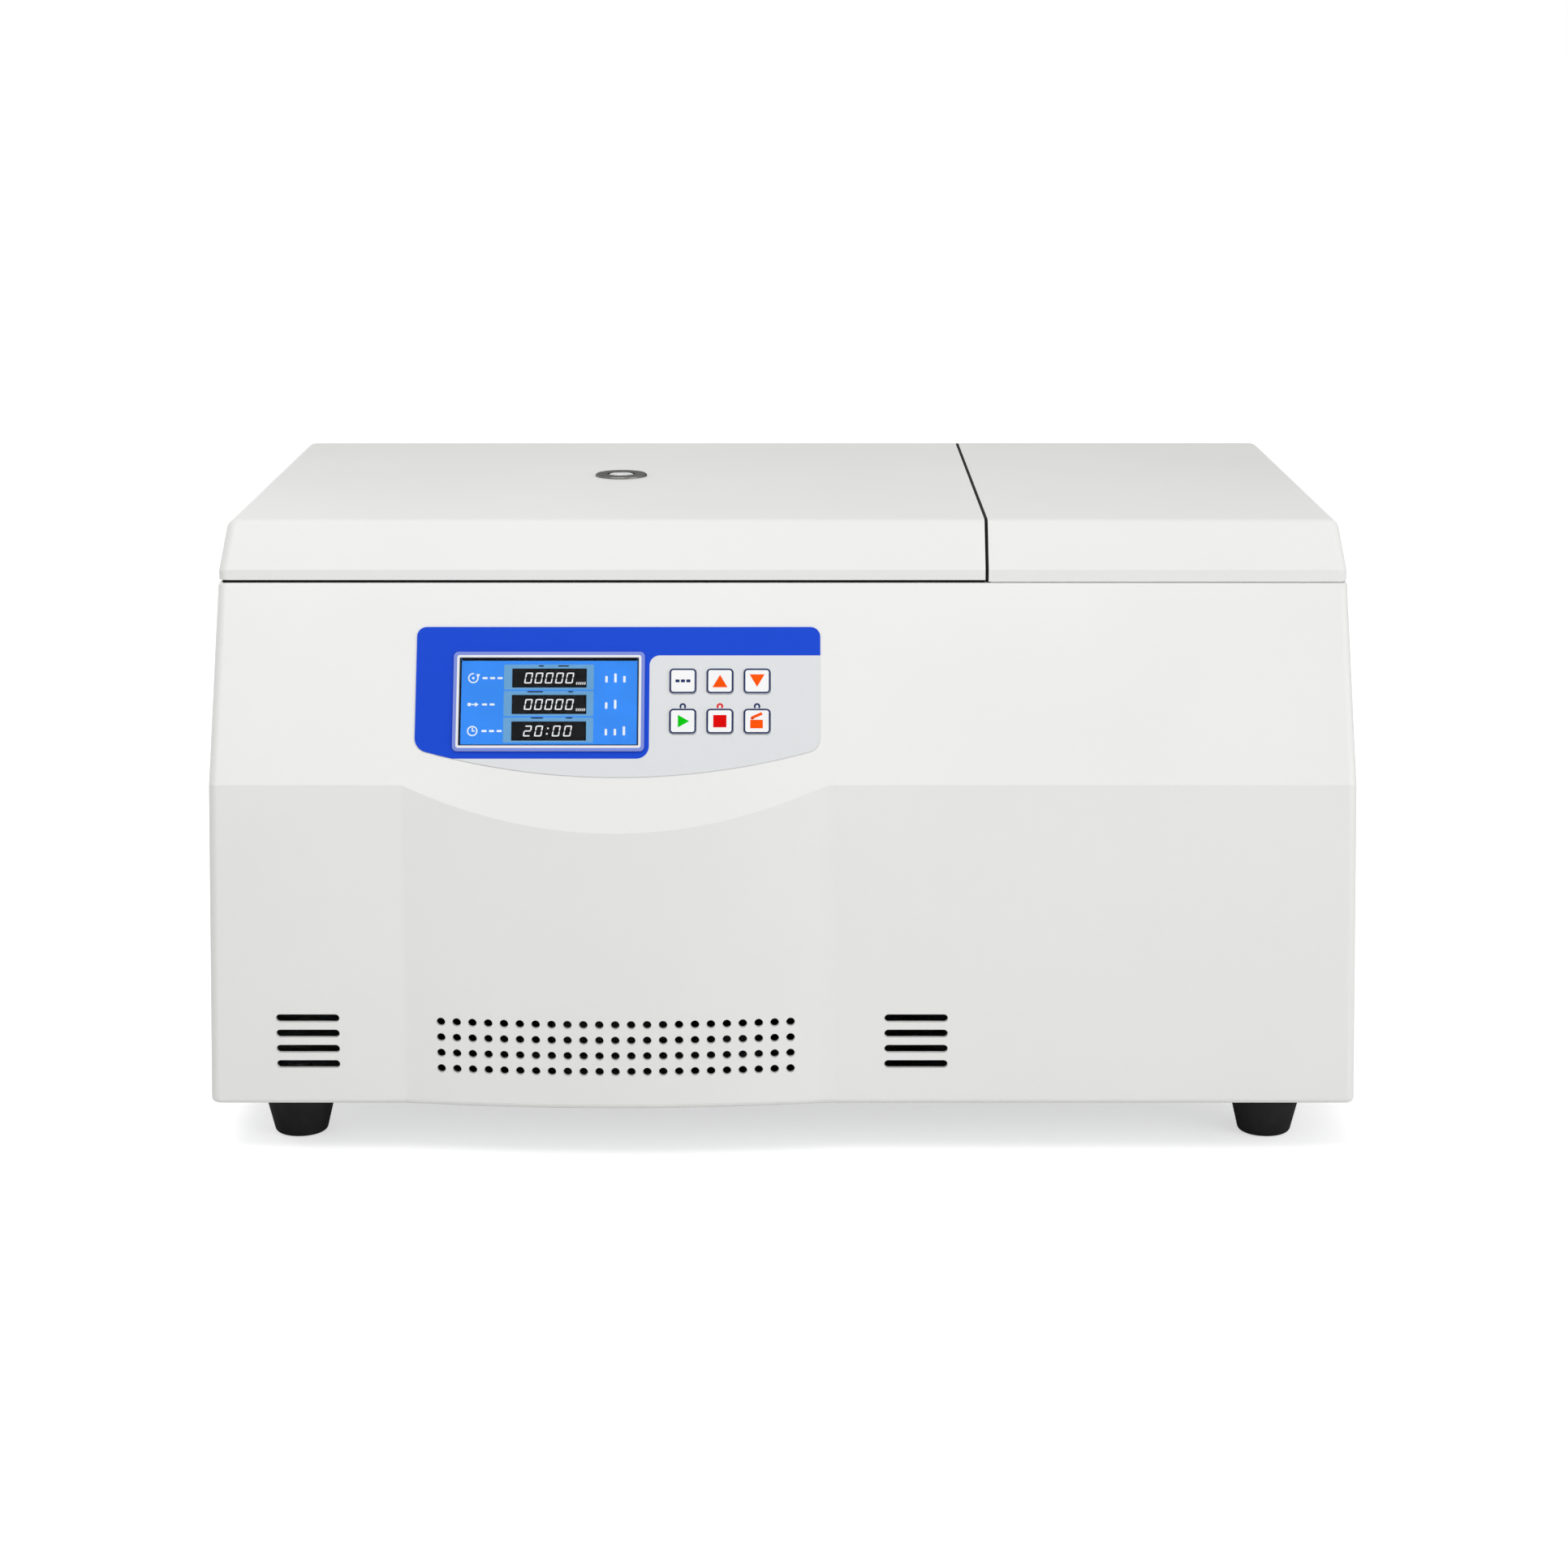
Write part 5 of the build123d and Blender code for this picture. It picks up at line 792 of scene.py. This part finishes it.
# ---- Keys ----
# Six white caps with a dark blue border and a printed sign, standing just proud of the sheet.
# The three lower keys have a small mark above them on the sheet, an arch open towards the key.
key_plastic = finish("key_plastic", (0.885, 0.885, 0.885), (0.86, 0.86, 0.865), 0.45, worn=(0.76, 0.76, 0.76),
                     grain=2000.0, depth=0.006, drift=60.0, round_edge=0.0005, rub=0.3, specular=0.2)
dress(key_plastic, "key_set", "key_up", "key_down", "key_start", "key_stop", "key_lid")
navy_ink = print_ink("navy_ink", (0.017, 0.032, 0.115), roughness=0.42)
orange_ink = print_ink("orange_ink", (0.97, 0.090, 0.001))
green_ink = print_ink("green_ink", (0.003, 0.560, 0.004))
red_ink = print_ink("red_ink", (0.740, 0.001, 0.001))

key_columns, key_rows = (-61.1, -38.4, -15.7), (64.7, 39.5)
cap_top, ink_top, sheet_top, mark_top = 1.60, 1.66, 0.60, 0.64
border_width, border_height, mark_rise = 16.2, 15.5, 9.45
left_key, middle_key, right_key = key_columns
upper, lower = key_rows
key_signs = {
    "key_set": (navy_ink, [plain_plate("bar", (left_key + shift, upper), 2.5, 1.8, cap_top, ink_top, corner=0.3)
                           for shift in (-3.3, 0.0, 3.3)]),
    "key_up": (orange_ink, [triangle("up", (middle_key, upper - 0.1), 9.2, 7.8, 0.0, cap_top, ink_top)]),
    "key_down": (orange_ink, [triangle("down", (right_key, upper + 0.2), 9.2, 7.8, radians(180.0), cap_top, ink_top)]),
    "key_start": (green_ink, [triangle("start", (left_key + 0.5, lower), 7.9, 6.9, radians(-90.0), cap_top, ink_top)]),
    "key_stop": (red_ink, [plain_plate("stop", (middle_key, lower), 8.1, 7.7, cap_top, ink_top, corner=0.15)]),
    "key_lid": (orange_ink, [plain_plate("box", (right_key - 0.3, lower - 1.8), 7.7, 5.3, cap_top, ink_top,
                                         corner=0.15)]),
}
lid_bar = plain_plate("lid_bar", (0.0, 0.0), 7.2, 1.75, cap_top, ink_top, corner=0.35)
settle(lid_bar, Matrix.Rotation(radians(24.0), 4, "Z"))
settle(lid_bar, Matrix.Translation(((right_key - 0.2) * mm, (lower + 3.4) * mm, 0.0)))
lift_bar = plain_plate("lift_bar", (right_key - 3.0, lower + 1.6), 1.9, 1.0, cap_top, ink_top, corner=0.2)
key_signs["key_lid"][1].extend((lid_bar, lift_bar))
key_places = [(x, level) for level in key_rows for x in key_columns]
for (key_name, (ink, pieces)), place in zip(key_signs.items(), key_places):
    sign = welded(key_name + "_sign", pieces)
    on_the_panel(sign, ink, key_name)
    border = plain_plate(key_name + "_border", place, border_width, border_height, cap_top, ink_top,
                         corner=2.35, hole=0.95)
    on_the_panel(border, navy_ink, key_name)
for x, ink, name in zip(key_columns, (navy_ink, red_ink, navy_ink), ("start", "stop", "lid")):
    mark = flat_ring(name + "_key_mark", (x, lower + mark_rise), 2.0, 1.10, sheet_top, mark_top, 223.0, 317.0)
    on_the_panel(mark, ink)

# ---- Key board ----
# A green circuit board of glass laminate, fixed behind the keys.
# Its tinned tracks show faintly through the clear lacquer.
track_pattern, track_in, track_out = new_group("track_pattern", [("Pitch", 260.0), ("Width", 0.18)], ["Mask"])
layout = track_pattern.nodes.new("ShaderNodeTexVoronoi")
layout.distance = "MANHATTAN"
layout.feature = "F1"
track_pattern.links.new(object_point(track_pattern), layout.inputs["Vector"])
track_pattern.links.new(track_in.outputs["Pitch"], layout.inputs["Scale"])
from_middle = calculate(track_pattern, "SUBTRACT", layout.outputs["Distance"], 0.5)
edge_distance = calculate(track_pattern, "ABSOLUTE", from_middle, 0.0)
narrow = calculate(track_pattern, "DIVIDE", edge_distance, track_in.outputs["Width"])
track_pattern.links.new(ramp(track_pattern, narrow, 0.7, 1.0, 1.0, 0.0), track_out.inputs["Mask"])
board_lacquer = finish("board_lacquer", (0.010, 0.135, 0.045), (0.008, 0.105, 0.035), 0.30,
                       worn=(0.25, 0.22, 0.12), grain=1200.0, depth=0.02, drift=25.0)
tracks = use(board_lacquer.node_tree, track_pattern, pitch=260.0, width=0.12)
lay_over(board_lacquer, tracks.outputs["Mask"], (0.030, 0.240, 0.075))
dress(board_lacquer, "control_board")

# ---- Base, back and partition ----
# Zinc-plated sheet steel, folded and drilled, with the faint flowers of the plating.
# The hinge brackets, hinge arms and latch frames are pressed from the same sheet.
zinc_flowers, flower_in, flower_out = new_group("zinc_flowers", [("Scale", 120.0)], ["Tone", "Edge"])
crystals = zinc_flowers.nodes.new("ShaderNodeTexVoronoi")
crystals.feature = "F1"
zinc_flowers.links.new(object_point(zinc_flowers, (1.0, 1.0, 0.8)), crystals.inputs["Vector"])
zinc_flowers.links.new(flower_in.outputs["Scale"], crystals.inputs["Scale"])
channel = zinc_flowers.nodes.new("ShaderNodeSeparateColor")
zinc_flowers.links.new(crystals.outputs["Color"], channel.inputs["Color"])
zinc_flowers.links.new(channel.outputs["Red"], flower_out.inputs["Tone"])
zinc_flowers.links.new(ramp(zinc_flowers, crystals.outputs["Distance"], 0.2, 0.7), flower_out.inputs["Edge"])
zinc_sheet = finish("zinc_sheet", (0.62, 0.635, 0.65), (0.54, 0.555, 0.575), 0.38, metallic=1.0,
                    worn=(0.74, 0.74, 0.75), grain=500.0, depth=0.01, drift=6.0, round_edge=0.0003)
tree = zinc_sheet.node_tree
flowers = use(tree, zinc_flowers, scale=130.0)
lay_over(zinc_sheet, calculate(tree, "MULTIPLY", flowers.outputs["Tone"], 0.35), (0.44, 0.46, 0.49))
dull = ramp(tree, flowers.outputs["Tone"], 0.0, 1.0, 0.30, 0.46)
tree.links.new(dull, tree.nodes["Principled BSDF"].inputs["Roughness"])
dress(zinc_sheet, "base_plate", "rear_panel", "partition", "hinge_brackets", "lid_arms", "latch_frames")

# ---- Screws, pins, claws and strikers ----
# Turned and stamped steel with a bright passivated skin that wears on the edges.
# The pins are turned from bar, and the claws and strikers are stamped from plate.
screw_bright = finish("screw_bright", (0.56, 0.565, 0.57), (0.44, 0.445, 0.455), 0.28, metallic=1.0,
                      worn=(0.80, 0.80, 0.80), grain=1500.0, depth=0.015, drift=90.0, round_edge=0.0002)
dress(screw_bright, "case_screws", "foot_screws", "lid_screws", "hinge_pins", "latch_pins", "trunnion_pins",
      "lid_strikers", "latch_claw_left", "latch_claw_right")

# ---- Hinge springs ----
# Coiled spring steel, blued by the heat of tempering and lightly oiled.
# One spring sits on each hinge pin and carries most of the lid's weight.
spring_blued = finish("spring_blued", (0.145, 0.150, 0.185), (0.090, 0.095, 0.130), 0.26, metallic=1.0,
                      worn=(0.42, 0.42, 0.44), grain=900.0, depth=0.01, drift=70.0, round_edge=0)
dress(spring_blued, "lid_springs")

# ---- Chamber bowl ----
# A stainless bowl, spun on a former and hung from the deck by its rim.
# The fine rings of the spinning tool are left in its wall and floor.
bowl_steel = turned_metal("bowl_steel", (0.66, 0.665, 0.67), (0.57, 0.575, 0.585), 0.27, chamber_axis, 520.0,
                          depth=0.02, drift=9.0)
dress(bowl_steel, "chamber_bowl")

# ---- Lid liner ----
# A flat stainless sheet with a brushed grain along the width.
# It is screwed up under the lid and closes the moulding over the chamber.
liner_steel = finish("liner_steel", (0.62, 0.62, 0.625), (0.56, 0.56, 0.57), 0.30, metallic=1.0,
                     worn=(0.78, 0.78, 0.78), grain=1700.0, depth=0.008, stretch=(0.03, 1.0, 1.0), drift=4.0)
dress(liner_steel, "lid_liner")

# ---- Armour ring and motor plate ----
# Thick rolled steel in its dark mill scale, rubbed to bright metal along the edges.
# The ring stands round the bowl to hold fragments back, and the plate carries the motor.
mill_scale = finish("mill_scale", (0.155, 0.155, 0.165), (0.095, 0.095, 0.105), 0.48, metallic=0.9,
                    worn=(0.50, 0.50, 0.50), grain=420.0, depth=0.05, drift=9.0, round_edge=0.0006)
dress(mill_scale, "guard_ring", "motor_plate")

# ---- Motor ----
# A cast housing in dark grey enamel round a stack of varnished laminations.
# Its ground shaft turns in two bearings and drives the rotor directly.
motor_enamel = finish("motor_enamel", (0.085, 0.092, 0.105), (0.060, 0.066, 0.078), 0.42, worn=(0.30, 0.30, 0.31),
                      grain=700.0, depth=0.06, drift=12.0, round_edge=0.0008)
dress(motor_enamel, "motor_housing", "motor_drive")
stack_varnish = finish("stack_varnish", (0.26, 0.235, 0.20), (0.17, 0.15, 0.13), 0.40, metallic=0.6,
                       worn=(0.45, 0.43, 0.40), grain=900.0, depth=0.08, stretch=(0.02, 0.02, 2.4), drift=14.0)
dress(stack_varnish, "motor_stator")
ground_steel = turned_metal("ground_steel", (0.64, 0.64, 0.645), (0.52, 0.52, 0.53), 0.18, chamber_axis, 2200.0,
                            depth=0.008, drift=30.0)
dress(ground_steel, "spindle", "spindle_bearings")

# ---- Rotor and plate carriers ----
# A cast and milled aluminium yoke with two folded aluminium carriers, anodised to an even satin.
# The carriers swing on pins in the yoke's arms, and a turned nut holds the yoke on the shaft.
rotor_aluminium = finish("rotor_aluminium", (0.68, 0.685, 0.69), (0.60, 0.605, 0.615), 0.34, metallic=1.0,
                         worn=(0.84, 0.84, 0.84), grain=1300.0, depth=0.02, drift=10.0, round_edge=0.0006)
dress(rotor_aluminium, "rotor_yoke", "carrier_left", "carrier_right")
nut_aluminium = turned_metal("nut_aluminium", (0.72, 0.72, 0.725), (0.62, 0.62, 0.63), 0.22, chamber_axis, 1500.0,
                             depth=0.012, drift=40.0)
dress(nut_aluminium, "rotor_nut")

# ---- Heat sink ----
# Extruded aluminium fins with the long draw marks of the die.
# It is bolted to the motor drive in the right compartment.
sink_aluminium = finish("sink_aluminium", (0.55, 0.55, 0.56), (0.46, 0.46, 0.475), 0.44, metallic=1.0,
                        worn=(0.75, 0.75, 0.75), grain=1300.0, depth=0.02, stretch=(1.0, 0.02, 1.0), drift=12.0)
dress(sink_aluminium, "heat_sink")

# ---- Fan ----
# A moulded black frame and impeller behind a plated wire guard.
# The frame and the guard are fixed to the rear panel, and the impeller turns in the frame.
fan_plastic = finish("fan_plastic", (0.024, 0.024, 0.026), (0.016, 0.016, 0.018), 0.46, worn=(0.07, 0.07, 0.07),
                     grain=1400.0, depth=0.03, drift=20.0, round_edge=0.0004)
dress(fan_plastic, "fan_frame", "fan_impeller")
guard_wire = finish("guard_wire", (0.60, 0.60, 0.61), (0.50, 0.50, 0.515), 0.20, metallic=1.0, worn=(0.75, 0.75, 0.75),
                    grain=900.0, depth=0.01, drift=50.0, round_edge=0)
dress(guard_wire, "fan_guard")

# ---- Latch solenoids, mains inlet and switch ----
# Small black mouldings: two coil cases, the three-pin inlet and the rocker switch in its frame.
# The inlet and the switch snap into the rear panel, and the coil cases are screwed to the latch frames.
fitting_plastic, inlet_plastic = (
    finish(name, (0.018, 0.018, 0.019), (0.011, 0.011, 0.012), 0.34, worn=(0.06, 0.06, 0.06), grain=1800.0, depth=0.02,
           drift=40.0, round_edge=0.0005) for name in ("fitting_plastic", "inlet_plastic"))
dress(fitting_plastic, "latch_solenoids", "switch_frame", "switch_rocker")

# The inlet is the same moulding with three nickel-plated pins standing in it.
inlet_x, inlet_z = 290.0, 85.0
pin_half_width, pin_half_height = 1.1, 2.1
tree = inlet_plastic.node_tree
point = tree.nodes.new("ShaderNodeSeparateXYZ")
tree.links.new(object_point(tree), point.inputs["Vector"])
pins = None
for across, rise in ((-7.0, -2.0), (0.0, 2.0), (7.0, -2.0)):
    pin_x, pin_z = inlet_x + across, inlet_z + rise
    pin = rounded_field(tree, point.outputs["X"], point.outputs["Z"], pin_x - pin_half_width, pin_x + pin_half_width,
                        pin_z - pin_half_height, pin_z + pin_half_height, 0.1)
    pins = pin if pins is None else calculate(tree, "MAXIMUM", pins, pin)
lay_over(inlet_plastic, pins, (0.66, 0.65, 0.62))
tree.links.new(pins, tree.nodes["Principled BSDF"].inputs["Metallic"])
dress(inlet_plastic, "power_inlet")

# A bar and a ring are moulded in white on the two halves of the rocker.
rocker_bar = plain_plate("rocker_bar", (0.0, 0.0), 0.9, 3.6, 0.0, 0.06, corner=0.2)
rocker_ring = flat_ring("rocker_ring", (0.0, 0.0), 1.7, 0.6, 0.0, 0.06)
bar_place, ring_place = (0.225, 0.27502, 0.0893), (0.225, 0.27452, 0.0808)
rocker_lean = Matrix.Rotation(radians(-7.1), 4, "X")
to_the_back = Matrix.Rotation(radians(-90.0), 4, "X")
settle(rocker_bar, Matrix.Translation(bar_place) @ rocker_lean @ to_the_back)
settle(rocker_ring, Matrix.Translation(ring_place) @ to_the_back)
rocker_white = print_ink("rocker_white", (0.80, 0.80, 0.80))
rocker_print = welded("rocker_marks", [rocker_bar, rocker_ring])
coat(rocker_print, rocker_white)
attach(rocker_print, "switch")
